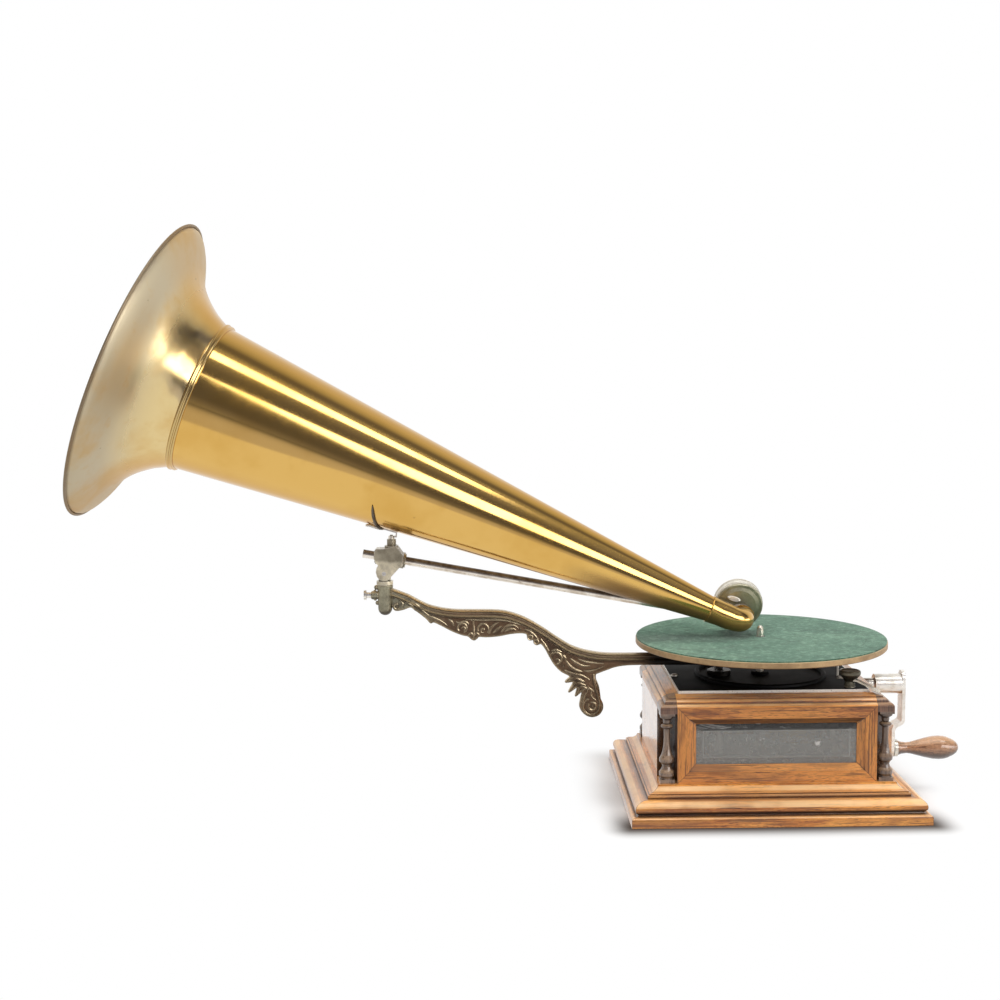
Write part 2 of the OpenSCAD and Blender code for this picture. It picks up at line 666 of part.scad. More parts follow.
module crank_handle() {
    color("sienna") translate([dx, 0, crank_z - crank_throw]) along_x(142.35) difference() {
        rotate_extrude() polygon([[0, 0], [7.5, 0], [7.3, 1.6], [6.3, 4.6], [5.6, 9.8], [6.1, 14],
            [7.5, 19.3], [9.9, 28.3], [11.7, 37.2], [12.1, 43.1], [11.8, 48], [10.8, 52.1], [8.1, 58],
            [6, 61], [3.4, 63], [0, 63.4]]);
        translate([0, 0, -1]) cylinder(r = 2.2 + run, h = 55.6);
    }
}

module motor_plate() {
    color("darkgoldenrod") difference() {
        span(-56, 76, -36, 42, plate_z, plate_z + plate_t);
        for (p = pillar_spots)
            translate([p[0], p[1], plate_z - 1]) cylinder(r = 2, h = 10);
        translate([0, 0, plate_z - 1]) cylinder(r = 2.5 + run, h = 10);
        translate([barrel_x, 0, plate_z - 1]) cylinder(r = 2.5 + run, h = 10);
        translate([gov_x, gov_y, plate_z - 1]) cylinder(r = 1.5 + run, h = 10);
    }
}

module motor_pillars() {
    color("darkgoldenrod") for (p = pillar_spots)
        translate([p[0], p[1], 0]) {
            translate([0, 0, plate_z + plate_t]) cylinder(r = 4, h = board_z - plate_z - plate_t);
            translate([0, 0, plate_z - 1]) cylinder(r = 1.99, h = 8);
            translate([0, 0, plate_z - 3]) cylinder(r = 3.6, h = 3);
        }
}

module spring_barrel() {
    color("goldenrod") translate([barrel_x, 0, 0]) difference() {
        union() {
            translate([0, 0, 56]) rotate([0, 0, 180 / wheel_n]) gear(wheel_n, drive_m, 3.6);
            translate([0, 0, 59.5]) cylinder(r = 29, h = 36.5);
        }
        translate([0, 0, 61.6]) cylinder(r = 27, h = 32.4);
        translate([0, 0, 50]) cylinder(r = 4 + run, h = 60);
    }
}

module mainspring() {
    turns = 7;
    steps = turns * 24;
    outer = [for (i = [0 : steps]) polar(7 + 19.9 * i / steps, i * 15)];
    inner = [for (i = [steps : -1 : 0]) polar(6.3 + 19.9 * i / steps, i * 15)];
    color("slategray") translate([barrel_x, 0, 61.7]) linear_extrude(31) polygon(concat(outer, inner));
}

module winding_arbor() {
    color("silver") translate([barrel_x, 0, 0]) {
        translate([0, 0, plate_z + 0.2]) cylinder(r = 2.5, h = 4);
        translate([0, 0, plate_z + plate_t + 0.1]) cylinder(r = 4, h = 53);
        translate([0, 0, 50.8]) cylinder(r = 7, h = 5.1);
        translate([0, 0, 99.8]) cylinder(r = 13.6, h = 3);
        translate([0, 0, 99]) cylinder(r = 2.5, h = 17.6);
        for (i = [0 : wind_n - 1])
            rotate([0, 0, i * 360 / wind_n]) translate([10.8, 0, 102.6]) rotate([90, 0, 90])
                linear_extrude(2.4) polygon([[-0.9, 0], [0.9, 0], [0.56, 1.7], [0.34, 2.3],
                    [-0.34, 2.3], [-0.56, 1.7]]);
    }
}

module turntable_spindle() {
    color("silver") {
        translate([0, 0, plate_z + 0.2]) cylinder(r = 2.5, h = 4);
        translate([0, 0, plate_z + plate_t + 0.1]) cylinder(r = 4, h = felt_z - plate_z - plate_t - 0.1);
        translate([0, 0, 55.4]) gear(pinion_n, drive_m, 5);
        translate([0, 0, 140]) cylinder(r = pin_r, h = felt_z + pin_wall - 140);
        translate([0, 0, felt_z + pin_wall]) cylinder(r1 = pin_r, r2 = pin_r - 0.3, h = 4.8);
        translate([0, 0, felt_z + pin_wall + 4.8]) cylinder(r1 = pin_r - 0.3, r2 = 1.4, h = 2);
    }
}

module spindle_wheel() {
    color("goldenrod") translate([0, 0, 108.4]) difference() {
        union() {
            gear(spin_n, gov_m, 3);
            translate([0, 0, -3]) cylinder(r = 7, h = 6);
        }
        for (a = [45 : 90 : 315])
            rotate([0, 0, a]) translate([16, 0, -1]) cylinder(r = 7, h = 6);
        translate([0, 0, -4]) cylinder(r = 4, h = 10);
    }
}

module governor_spindle() {
    color("silver") translate([gov_x, gov_y, 0]) {
        translate([0, 0, plate_z + 0.2]) cylinder(r = 1.5, h = 4);
        translate([0, 0, plate_z + plate_t + 0.1]) cylinder(r = 2, h = 64.6);
        translate([0, 0, 107.8]) rotate([0, 0, gov_a + 180 - 180 / gov_n]) gear(gov_n, gov_m, 4.2);
        translate([0, 0, 111]) cylinder(r = 1.5, h = 5.6);
        translate([0, 0, 94]) cylinder(r = 5, h = 4);
    }
}

module governor_weights() {
    color("goldenrod") translate([gov_x, gov_y, 0])
        for (a = [0, 120, 240])
            rotate([0, 0, a]) {
                slab_y(2) polygon([[5.02, 62.4], [6.3, 62.4], [12.4, 79], [12.4, 81], [6.3, 97.5],
                    [5.02, 97.5], [5.02, 94.6], [5.8, 94.4], [11.6, 80], [5.8, 65.6], [5.02, 65.4]]);
                span(9.2, 15, -3.4, 3.4, 77.4, 82.6);
            }
}

module governor_disc() {
    color("goldenrod") translate([gov_x, gov_y, 0]) difference() {
        union() {
            translate([0, 0, 62]) cylinder(r = 5, h = 4);
            translate([0, 0, 59.6]) cylinder(r = 20, h = 1.6);
            translate([0, 0, 59.6]) cylinder(r = 5, h = 4);
        }
        translate([0, 0, 50]) cylinder(r = 2.01, h = 30);
    }
}

module speed_screw() {
    color("silver") translate([-44.8, 21, 0]) {
        translate([0, 0, 61.5]) cylinder(r = 2.4, h = 4);
        translate([0, 0, 64]) cylinder(r = 1.5, h = 58);
        difference() {
            translate([0, 0, board_top + 0.3]) cylinder(r = 5, h = 4);
            for (a = [0 : 30 : 330])
                rotate([0, 0, a]) translate([5.4, 0, board_top]) cylinder(r = 0.8, h = 8, $fn = 16);
        }
    }
}

module platter() {
    color("tan") rotate_extrude($fn = 180) polygon([[4, 147], [13, 147], [13, 156.2],
        [platter_r - 4.5, 156.2], [platter_r - 4.5, platter_z], [platter_r - 0.8, platter_z],
        [platter_r, platter_z + 0.8], [platter_r, felt_z - felt_t - 0.4],
        [platter_r - 0.4, felt_z - felt_t], [4, felt_z - felt_t]]);
}

module platter_felt() {
    color("seagreen") translate([0, 0, felt_z - felt_t]) difference() {
        cylinder(r = platter_r - 0.7, h = felt_t, $fn = 180);
        translate([0, 0, -1]) cylinder(r = 4, h = 5);
    }
}

plinth();
floor_board();
side_panel(-1);  // side_panel_left
side_panel(1);  // side_panel_right
window_frame(-1);  // window_frame_front
window_frame(1);  // window_frame_back
window_glass(-1);  // window_glass_front
window_glass(1);  // window_glass_back
column(-1, -1);  // column_front_left
column(1, -1);  // column_front_right
column(-1, 1);  // column_back_left
column(1, 1);  // column_back_right
cornice_long(-1);  // cornice_front
cornice_long(1);  // cornice_back
cornice_side(-1);  // cornice_left
cornice_side(1);  // cornice_right
cornice_block(-1, -1);  // cornice_block_front_left
cornice_block(1, -1);  // cornice_block_front_right
cornice_block(-1, 1);  // cornice_block_back_left
cornice_block(1, 1);  // cornice_block_back_right
motor_board();
board_screws();
brake_post();
brake_lever();
support_arm();
arm_thumbscrew();
swivel_post();
swivel_head();
pivot_screw();
travelling_arm();
horn_cone();
joint_ring();
horn_bell();
horn_lug();
horn_elbow();
sound_box_back();
sound_box_rim();
sound_box_gaskets();
diaphragm();
needle_bar();
needle_screw();
needle();
crank_bush();
crank_shaft();
crank_arm();
crank_ferrule();
crank_handle();
motor_plate();
motor_pillars();
spring_barrel();
mainspring();
winding_arbor();
turntable_spindle();
spindle_wheel();
governor_spindle();
governor_weights();
governor_disc();
speed_screw();
platter();
platter_felt();
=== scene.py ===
"""Finish and studio for the front mount disc talking machine."""
import math

import bpy
from mathutils import Matrix, Vector


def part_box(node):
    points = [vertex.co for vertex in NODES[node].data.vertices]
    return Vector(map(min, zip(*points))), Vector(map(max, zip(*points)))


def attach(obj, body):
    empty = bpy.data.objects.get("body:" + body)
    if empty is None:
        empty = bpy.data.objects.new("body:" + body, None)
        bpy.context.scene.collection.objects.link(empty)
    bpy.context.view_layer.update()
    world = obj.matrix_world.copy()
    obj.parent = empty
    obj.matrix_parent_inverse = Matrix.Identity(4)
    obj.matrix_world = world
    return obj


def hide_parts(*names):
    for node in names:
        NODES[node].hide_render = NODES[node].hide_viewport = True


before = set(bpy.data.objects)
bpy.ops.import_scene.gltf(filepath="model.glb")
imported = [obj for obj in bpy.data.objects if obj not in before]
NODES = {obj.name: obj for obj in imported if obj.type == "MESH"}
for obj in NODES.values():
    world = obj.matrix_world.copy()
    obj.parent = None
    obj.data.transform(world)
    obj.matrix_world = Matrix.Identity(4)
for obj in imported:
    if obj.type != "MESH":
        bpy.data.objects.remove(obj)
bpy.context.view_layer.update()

bl_info = {
    "name": "Talking machine finish",
    "version": (1, 0, 0),
    "blender": (4, 5, 0),
    "location": "3D View > Sidebar > Machine",
    "description": "Finishes, carved detail and studio for a front mount disc talking machine",
    "category": "Object",
}

# Lengths are in metres, and in millimetres where MM turns them into metres.
MM = 0.001
# Half sizes of the case, each from its middle.
PLINTH_HW, PLINTH_HD = 0.1439, 0.1257
FRAME_HW, FRAME_HH = 0.0853, 0.026
BOARD_HW, BOARD_HD = 0.0937, 0.0755
PANEL_HD = 0.068
FRAME_Z = 0.0717
BRACKET_X = -0.383
PIVOT = (0.008, 0, 0.3274)
BOX_PLACE = (0.3632, 0.0251, 0.1888)
HORN_PITCH = math.radians(23.03)
HORN_YAW = math.radians(-1.72)
BOX_TILT = math.radians(12)


def srgb(r, g, b):
    """Linear colour of a matched 0 to 255 colour."""
    out = []
    for channel in (r, g, b):
        c = channel / 255
        out.append(c / 12.92 if c <= 0.04045 else ((c + 0.055) / 1.055) ** 2.4)
    return (*out, 1.0)


def grey(level):
    return (level, level, level, 1)


def at_bracket():
    """Frame of all that swings on the scroll arm."""
    return Matrix.Translation((BRACKET_X, 0, 0)) @ Matrix.Rotation(HORN_YAW, 4, "Z")


def on_horn():
    """Frame of the horn: z runs along its axis to the mouth."""
    return at_bracket() @ Matrix.Translation(PIVOT) @ Matrix.Rotation(HORN_PITCH - math.pi / 2, 4, "Y")


def at_box():
    """Frame of the sound box: z runs along its neck."""
    return at_bracket() @ Matrix.Translation(BOX_PLACE) @ Matrix.Rotation(BOX_TILT - math.pi / 2, 4, "X")


# ---------------------------------------------------------------- shader maths

class Wire:
    """A socket that can be used in sums."""

    def __init__(self, paint, socket):
        self.paint = paint
        self.socket = socket

    def __add__(self, other):
        return self.paint.maths("ADD", self, other)

    __radd__ = __add__

    def __sub__(self, other):
        return self.paint.maths("SUBTRACT", self, other)

    def __rsub__(self, other):
        return self.paint.maths("SUBTRACT", other, self)

    def __mul__(self, other):
        return self.paint.maths("MULTIPLY", self, other)

    __rmul__ = __mul__

    def __truediv__(self, other):
        return self.paint.maths("DIVIDE", self, other)


class Paint:
    """One material's node tree."""

    def __init__(self, name, world=None):
        if world is None:
            self.material = bpy.data.materials.new(name)
            self.material.use_nodes = True
            self.tree = self.material.node_tree
        else:
            world.use_nodes = True
            self.tree = world.node_tree
        self.tree.nodes.clear()

    def node(self, kind, settings=None, inputs=None, out=0):
        """Makes a node, sets it, then feeds its sockets with values or links. Gives the output named by out."""
        made = self.tree.nodes.new(kind)
        for key, value in (settings or {}).items():
            if key == "stops":
                ramp = made.color_ramp
                while len(ramp.elements) > 1:
                    ramp.elements.remove(ramp.elements[-1])
                ramp.elements[0].position = value[0][0]
                ramp.elements[0].color = value[0][1]
                for place, colour in value[1:]:
                    ramp.elements.new(place).color = colour
            else:
                setattr(made, key, value)
        for key, value in (inputs or {}).items():
            self.feed(made.inputs[key], value)
        return Wire(self, made.outputs[out]) if made.outputs else None

    def feed(self, socket, value):
        if isinstance(value, Wire):
            self.tree.links.new(value.socket, socket)
        else:
            socket.default_value = value

    def maths(self, operation, a, b=0.0):
        return self.node("ShaderNodeMath", {"operation": operation}, {0: a, 1: b})

    def highest(self, a, b):
        return self.maths("MAXIMUM", a, b)

    def lowest(self, a, b):
        return self.maths("MINIMUM", a, b)

    def size(self, a):
        return self.maths("ABSOLUTE", a)

    def place(self):
        return self.node("ShaderNodeTexCoord", out="Object")

    def outputs(self, kind, names, inputs=None):
        """Several outputs of one node."""
        made = self.node(kind, None, inputs).socket.node
        return [Wire(self, made.outputs[name]) for name in names]

    def split(self, vector):
        return self.outputs("ShaderNodeSeparateXYZ", "XYZ", {0: vector})

    def join(self, x, y, z):
        return self.node("ShaderNodeCombineXYZ", None, {0: x, 1: y, 2: z})

    def turned(self, vector, matrix):
        """The place in the frame of a part, from its own matrix."""
        inverse = matrix.inverted()
        return self.node("ShaderNodeMapping", {"vector_type": "POINT"}, {
            "Vector": vector, "Location": inverse.translation, "Rotation": inverse.to_euler()})

    def scaled(self, vector, x, y, z):
        return self.node("ShaderNodeVectorMath", {"operation": "MULTIPLY"}, {0: vector, 1: (x, y, z)})

    def noise(self, vector, scale, detail=3.0, rough=0.55, twist=0.0):
        return self.node("ShaderNodeTexNoise", None, {
            "Vector": vector, "Scale": scale, "Detail": detail, "Roughness": rough, "Distortion": twist})

    def dots(self, vector, scale):
        """Small round spots, far apart."""
        cells = self.node("ShaderNodeTexVoronoi", None, {"Vector": vector, "Scale": scale})
        return 1 - self.smooth(cells, 0.03, 0.06)

    def smooth(self, value, low, high):
        """From 0 at low to 1 at high, with soft ends."""
        return self.node("ShaderNodeMapRange", {"interpolation_type": "SMOOTHSTEP"}, {
            "Value": value, "From Min": low, "From Max": high})

    def ramp(self, value, stops):
        return self.node("ShaderNodeValToRGB", {"stops": stops}, {0: value})

    def mix(self, factor, a, b):
        """From colour a to colour b."""
        return self.node("ShaderNodeMix", {"data_type": "RGBA"}, {0: factor, 6: a, 7: b}, out=2)

    def layered(self, colour, layers):
        """Colours laid over one another, each a pair of mask and colour."""
        for mask, over in layers:
            colour = self.mix(mask, colour, over)
        return colour

    def away(self, x, y):
        """Distance from the middle."""
        return self.maths("SQRT", x * x + y * y)

    def bump(self, height, strength, distance):
        return self.node("ShaderNodeBump", None, {"Height": height, "Strength": strength, "Distance": distance})

    def shut_in(self, reach, **more):
        return 1 - self.node("ShaderNodeAmbientOcclusion", {"samples": 6, "only_local": True, **more},
                             {"Distance": reach}, out="AO")

    def hollow(self, reach):
        """How far a place lies in a corner or a quirk, from 0 to 1."""
        return self.shut_in(reach)

    def arris(self, reach):
        """How far a place lies on an outer edge, from 0 to 1."""
        return self.shut_in(reach, inside=True)

    def lift(self):
        """How far a face looks up: 1 level, 0 upright, -1 underneath."""
        return self.split(self.node("ShaderNodeNewGeometry", out="Normal"))[2]

    def rays(self):
        """Masks of what the eye sees, also through glass, and of what shows in reflections."""
        eye, glass, gloss = self.outputs(
            "ShaderNodeLightPath", ("Is Camera Ray", "Is Transmission Ray", "Is Glossy Ray"))
        return self.highest(eye, glass), gloss

    def band(self, value, low, high, soft=0.01):
        """1 between low and high, with soft ends."""
        return self.smooth(value, low - soft, low + soft) * self.smooth(value, high + soft, high - soft)

    def shader(self, kind, **sockets):
        """A shader with its sockets set or linked. _ stands for a space in a socket's name."""
        return self.node("ShaderNode" + kind, None, {name.replace("_", " "): v for name, v in sockets.items()})

    def blend(self, factor, first, second):
        return self.node("ShaderNodeMixShader", None, {0: factor, 1: first, 2: second})

    def ends(self, surface, kind="ShaderNodeOutputMaterial"):
        self.node(kind, None, {0: surface})

    def finish(self, **sockets):
        """Ends the tree with one principled surface."""
        self.ends(self.shader("BsdfPrincipled", **sockets))
        return self.material


# ---------------------------------------------------------------- finishes

# Dark brown of painted shade, and of the mitre joints.
SHADE_AND_JOINT_DARK = srgb(34, 18, 10)
MITRE_SOFT = 0.00005
TOOTH_PITCH = 0.0043
TOOTH_BAND = (0.1034, 0.1068)


def mitred(p, kind, half_a, half_b, places, orders):
    """Fibre axes of a mitred ring, lying flat or standing up, and the dark line of its joints."""
    x, y, z = places
    if kind == "flat":
        off = (p.size(y) - half_b) - (p.size(x) - half_a)
        other = orders["y"]
    else:
        off = (p.size(z - FRAME_Z) - half_b) - (p.size(x) - half_a)
        other = orders["z"]
    pick = p.smooth(off, -MITRE_SOFT, MITRE_SOFT)
    axes = [pick * a + (1 - pick) * b for a, b in zip(places, other)]
    return axes, 1 - p.smooth(p.size(off), 0.0001, 0.00042)


def oak(name, grain, light, middle, dark, seed, gloss=0.32, mitre=None, coat=0.25, recess=None,
        grime=(), bright=(), teeth=False):
    """Quarter cut oak under old varnish, with a painted highlight on faces that look up and painted shade on faces
    that look down and in corners and quirks.

    grain is the axis that the fibres follow, recess the axis and half width past which the wood is in shade, and
    grime and bright are bands of height, painted dark as shade in the quirks and light as highlight on the rolls: low
    and high in millimetres, and strength.
    """
    p = Paint(name)
    place = p.place()
    x, y, z = p.split(place)
    orders = {"x": (x, y, z), "y": (y, z, x), "z": (z, x, y)}
    along, side, up = orders[grain]
    line = None
    if mitre:
        (along, side, up), line = mitred(p, *mitre, (x, y, z), orders)
    grainy = p.join(along + seed, side, up)
    sweep = p.noise(p.scaled(grainy, 5, 26, 26), 1.0, 4, 0.6, 0.5)
    rings = p.noise(p.join(along * 3 + seed, side * 120 + sweep * 7, up * 120 + sweep * 5), 1.0, 3, 0.6)
    fibre = p.noise(p.scaled(grainy, 42, 1500, 1500), 1.0, 3, 0.7)
    pores = p.noise(p.scaled(grainy, 150, 2600, 2600), 1.0, 1, 0.5)
    fleck = p.noise(p.scaled(grainy, 55, 330, 330), 1.0, 2, 0.5, 0.8)
    streak = p.noise(p.scaled(grainy, 16, 520, 520), 1.0, 2, 0.5)
    patch = p.noise(place, 17, 3, 0.6)
    stain = p.noise(p.scaled(grainy, 9, 30, 30), 1.0, 3, 0.6, 0.4)
    lift = p.lift()
    glow = tuple(min(1.0, c * g) for c, g in zip(light, (1.12, 1.16, 1.1, 1)))
    tone = sweep * 0.42 + rings * 0.56 + fibre * 0.36 - 0.15
    colour = p.ramp(tone, [(0.33, dark), (0.43, middle), (0.54, light), (0.68, glow)])
    layers = [
        (p.smooth(pores, 0.56, 0.68) * 0.8, dark),
        (p.smooth(streak, 0.55, 0.66) * 0.75, dark),
        (p.smooth(fleck, 0.60, 0.72) * 0.35, light),
        (p.smooth(patch, 0.45, 0.75) * 0.35, middle),
        (p.smooth(stain, 0.47, 0.62) * 0.6, p.mix(0.6, middle, dark)),
        # Painted highlight on faces that look up.
        (p.smooth(lift, 0.3, 0.8) * 0.22, srgb(250, 206, 156)),
    ]
    # Painted highlight on the rolls, patchy in strength.
    for low, high, amount in bright:
        worn = 0.4 + p.smooth(patch, 0.35, 0.6) * 0.6
        layers.append((p.band(z, low * MM, high * MM, 0.0004) * worn * amount, srgb(252, 208, 152)))
    # Painted shade in the quirks.
    for low, high, amount in grime:
        layers.append((p.band(z, low * MM, high * MM, 0.0003) * amount, srgb(58, 28, 10)))
    # Painted shade in the gaps between the dentils.
    if teeth:
        cuts = [p.smooth(p.size(p.maths("FRACT", (axis + 1) / TOOTH_PITCH) - 0.5), 0.34, 0.44) for axis in (x, y)]
        layers.append((p.lowest(*cuts) * p.band(z, *TOOTH_BAND, 0.0002) * 0.85, SHADE_AND_JOINT_DARK))
    layers += [
        # Painted shade on faces that look down and in corners and quirks.
        (p.smooth(lift, 0.02, -0.5) * 0.7, SHADE_AND_JOINT_DARK),
        (p.smooth(p.hollow(0.006), 0.16, 0.52) * 0.92, SHADE_AND_JOINT_DARK),
        (p.smooth(p.arris(0.0012), 0.22, 0.5) * 0.5, light),
    ]
    if recess:
        axis, deep = recess
        layers.append((p.smooth(p.size(orders[axis][0]), deep - 0.0003, deep - 0.0001) * 0.9, SHADE_AND_JOINT_DARK))
    if line:
        layers.append((line * 0.9, SHADE_AND_JOINT_DARK))
    return p.finish(
        Base_Color=p.layered(colour, layers), Roughness=gloss + p.smooth(patch, 0.35, 0.8) * 0.14 + fibre * 0.08,
        Normal=p.bump(fibre * 0.5 + pores * 0.5 + rings * 0.3, 0.22, 0.0002),
        Coat_Weight=coat, Coat_Roughness=0.12, Coat_IOR=1.6)


def brass(name, front, edge, rim=None, rough=0.11, seed=0.0, spots=0.5, horn=None):
    """Lacquered spun brass: painted redder where the sheet turns away from the eye, as a painted reflection; without
    rim, painted darker underneath as shade; with rim, grey and dull towards the mouth.

    horn is the frame of a piece that is turned round the horn's axis.
    """
    p = Paint(name)
    place = p.place()
    cloud = p.noise(place, 9 + seed, 4, 0.62)
    fine = p.noise(place, 60, 4, 0.6)
    colour, dull, deep = front, 0.0, 0.0
    height = cloud * 0.4 + fine * 0.03
    if horn:
        x, y, z = p.split(p.turned(place, horn))
        wide = p.away(x, y)
        # Painted reflection: redder where the sheet turns up or down, away from the eye.
        turned = p.smooth(p.size(x / wide), 0.70, 0.98)
        if rim:
            dull = p.smooth(wide, 0.080, 0.128)
            colour = p.mix(dull, front, rim)
            turned = turned * (1 - dull * 0.6)
        else:
            # Painted shade on the cone's underside towards the elbow.
            deep = p.smooth(z, -0.185, -0.265) * p.smooth(x / wide, -0.10, -0.50)
        colour = p.mix(turned, colour, edge)
        height = height + p.noise(p.join(z * 700, wide * 700, seed), 1.0, 2, 0.6) * 0.03
    else:
        # Painted shade on faces that look down.
        deep = p.smooth(p.lift(), 0.15, -0.5)
    stain = p.smooth(cloud, 0.46, 0.72)
    layers = [(stain * 0.5, edge), (p.smooth(fine, 0.55, 0.8) * 0.25, edge)]
    if rim:
        layers.append((p.smooth(wide, 0.1532, 0.1545) * 0.7, srgb(104, 80, 54)))
    else:
        # Colours of the painted shade underneath.
        under = p.mix(p.smooth(cloud, 0.4, 0.6), srgb(150, 112, 54), srgb(104, 76, 38))
        layers.append((deep * 0.9, under))
    layers.append((p.dots(place, 46) * p.smooth(fine, 0.5, 0.6) * spots, srgb(70, 52, 30)))
    return p.finish(
        Base_Color=p.layered(colour, layers), Metallic=1.0 - deep * 0.8 - dull * 0.35,
        Roughness=rough + stain * 0.05 + p.smooth(fine, 0.5, 0.8) * 0.04 + dull * 0.30 + deep * 0.35,
        Normal=p.bump(height, 0.10, 0.0012))


def plated(name, tint, worn, rust, seed, rough=0.24, amount=0.5, metallic=1.0, top=None, shaded=None):
    """Nickel or steel with plating that wears through, dull clouds and specks of rust.

    top is the colour of a painted shade on faces that look up, and shaded a band of x that lies in the turntable's
    shade.
    """
    p = Paint(name)
    place = p.place()
    cloud = p.noise(place, 70 + seed, 4, 0.65)
    grit = p.noise(place, 620, 3, 0.7)
    patch = p.noise(place, 190, 3, 0.6)
    specks = p.smooth(grit, 0.60, 0.70) * p.smooth(patch, 0.48, 0.62) * amount
    layers = [(p.smooth(cloud, 0.42, 0.66) * 0.7, worn), (specks, rust),
              (p.smooth(p.hollow(0.003), 0.25, 0.6) * 0.7, rust)]
    metal = metallic - specks * 0.8 * metallic
    # Painted shade: faces that look up are darker and duller.
    if top:
        painted_top_shade = p.smooth(p.lift(), -0.25, 0.35)
        layers.append((painted_top_shade * 0.85, p.mix(p.smooth(cloud, 0.4, 0.6), top, rust)))
        metal = metal * (1 - painted_top_shade * 0.7)
    if shaded:
        dim = p.band(p.split(place)[0], *shaded, 0.003)
        layers.append((dim * 0.95, srgb(16, 14, 12)))
        metal = metal * (1 - dim)
    return p.finish(
        Base_Color=p.layered(tint, layers), Metallic=metal, Roughness=rough + cloud * 0.2 + specks * 0.4,
        Normal=p.bump(cloud * 0.4 + grit * 0.25, 0.18, 0.0003))


def casting(name, base, low, high, seed, shine=0.55, metallic=0.55, pale=None, dark_above=None, shaded=None):
    """Old bronzed cast iron: dark in the hollows, bright where the bronzing wears off the raised work, with a painted
    highlight on faces that look up and painted shade on faces that look down.

    pale is the colour of the arm's bright end, dark_above the height above which the piece is darker, and shaded the
    x and z past which a piece lies in the turntable's shade.
    """
    p = Paint(name)
    place = p.place()
    x, y, z = p.split(place)
    cloud = p.noise(place, 48 + seed, 5, 0.65)
    grain = p.noise(place, 430, 4, 0.7)
    lift = p.lift()
    layers = []
    if pale:
        layers.append((p.smooth(x + cloud * 0.03, -0.300, -0.362) * 0.85, pale))
    layers += [(p.smooth(cloud, 0.35, 0.7) * 0.6, low), (p.smooth(grain, 0.5, 0.72) * 0.35, low)]
    if dark_above:
        layers.append((p.smooth(z + cloud * 0.006, dark_above, dark_above + 0.004) * 0.55, low))
    # Bright where the bronzing wears off the arrises, and more so on faces that look up, with a painted highlight on
    # faces that look up.
    rubbed_and_highlit = p.smooth(p.arris(0.0016), 0.14, 0.42) * (0.3 + p.smooth(lift, -0.1, 0.5) * 0.65)
    rubbed_and_highlit = p.highest(rubbed_and_highlit, p.smooth(lift, 0.45, 0.9) * 0.8) * (0.6 + p.smooth(grain, 0.4, 0.6) * 0.4)
    # Painted shade on faces that look down, dark patina in the hollows, then the wear with its painted highlight.
    layers += [(p.smooth(lift, -0.05, -0.55) * 0.7, low), (p.smooth(p.hollow(0.004), 0.12, 0.45) * 0.92, low),
               (rubbed_and_highlit, high)]
    if shaded:
        at_x, at_z = shaded
        dim = p.smooth(x, at_x - 0.03, at_x) * p.smooth(z, at_z + 0.006, at_z)
        layers.append((dim * 0.95, srgb(14, 12, 10)))
    return p.finish(
        Base_Color=p.layered(base, layers), Metallic=metallic, Roughness=shine - rubbed_and_highlit * 0.18 + grain * 0.12,
        Normal=p.bump(cloud * 0.4 + grain * 0.6, 0.35, 0.0005))


def enamel(name, base, glow, rough, seed, edge=None):
    """Black stoved paint with dust and marks of rubbing, and a plated edge where edge gives its half sizes."""
    p = Paint(name)
    place = p.place()
    cloud = p.noise(place, 38 + seed, 4, 0.6)
    dust = p.noise(place, 700, 3, 0.7)
    layers = [(p.smooth(cloud, 0.45, 0.75) * 0.4, glow), (p.smooth(dust, 0.68, 0.78) * 0.2, srgb(70, 64, 56))]
    metal, roughness = 0.0, rough + cloud * 0.2
    if edge:
        x, y, z = p.split(place)
        outer = p.highest(p.size(x) - edge[0], p.size(y) - edge[1])
        plate = p.smooth(outer, -0.0011, -0.0008)
        layers.append((plate, p.mix(p.smooth(dust, 0.58, 0.72), srgb(250, 246, 236), srgb(140, 122, 100))))
        metal = plate * 0.5
        roughness = roughness * (1 - plate) + plate * 0.3
    return p.finish(
        Base_Color=p.layered(base, layers), Metallic=metal, Roughness=roughness,
        Normal=p.bump(dust + cloud, 0.1, 0.0003), Specular_IOR_Level=0.12)


def felt_cloth(name, base, pale, dark):
    """Close green baize with patches of rubbing, fibres, lint, a ring of wear, and the hole round the pin painted
    dark as its shade.
    """
    p = Paint(name)
    place = p.place()
    x, y, z = p.split(place)
    wide = p.away(x, y)
    cloud = p.noise(place, 16, 5, 0.65, 0.6)
    rub = p.noise(p.scaled(place, 26, 60, 40), 1.0, 4, 0.6)
    fibre = p.noise(place, 900, 4, 0.75, 1.2)
    tuft = p.noise(place, 420, 3, 0.7)
    blotch = p.noise(place, 150, 4, 0.75, 0.4)
    grime = p.noise(place, 34, 5, 0.75, 0.8)
    colour = p.layered(base, [
        (p.smooth(cloud, 0.40, 0.66) * 0.75, pale),
        (p.smooth(rub, 0.56, 0.74) * 0.45, dark),
        (p.smooth(fibre, 0.45, 0.62) * 0.55, dark),
        (p.smooth(tuft, 0.5, 0.66) * 0.4, pale),
        (p.smooth(blotch, 0.50, 0.64) * 0.42, dark),
        (p.smooth(blotch, 0.48, 0.36) * 0.4, srgb(150, 180, 156)),
        (p.smooth(grime, 0.52, 0.68) * 0.55, dark),
        (p.band(wide, 0.1052, 0.1060, 0.0005) * p.smooth(grime, 0.42, 0.5) * 0.55, dark),
        # Painted shade in the hole round the pin.
        (p.smooth(wide, 0.0062, 0.0046), srgb(16, 20, 16)),
        (p.dots(place, 75) * p.smooth(cloud, 0.46, 0.6) * 0.8, srgb(205, 205, 190)),
    ])
    return p.finish(
        Base_Color=colour, Roughness=0.95, Normal=p.bump(fibre + cloud * 0.4, 0.5, 0.0005),
        Sheen_Weight=0.25, Sheen_Roughness=0.5)


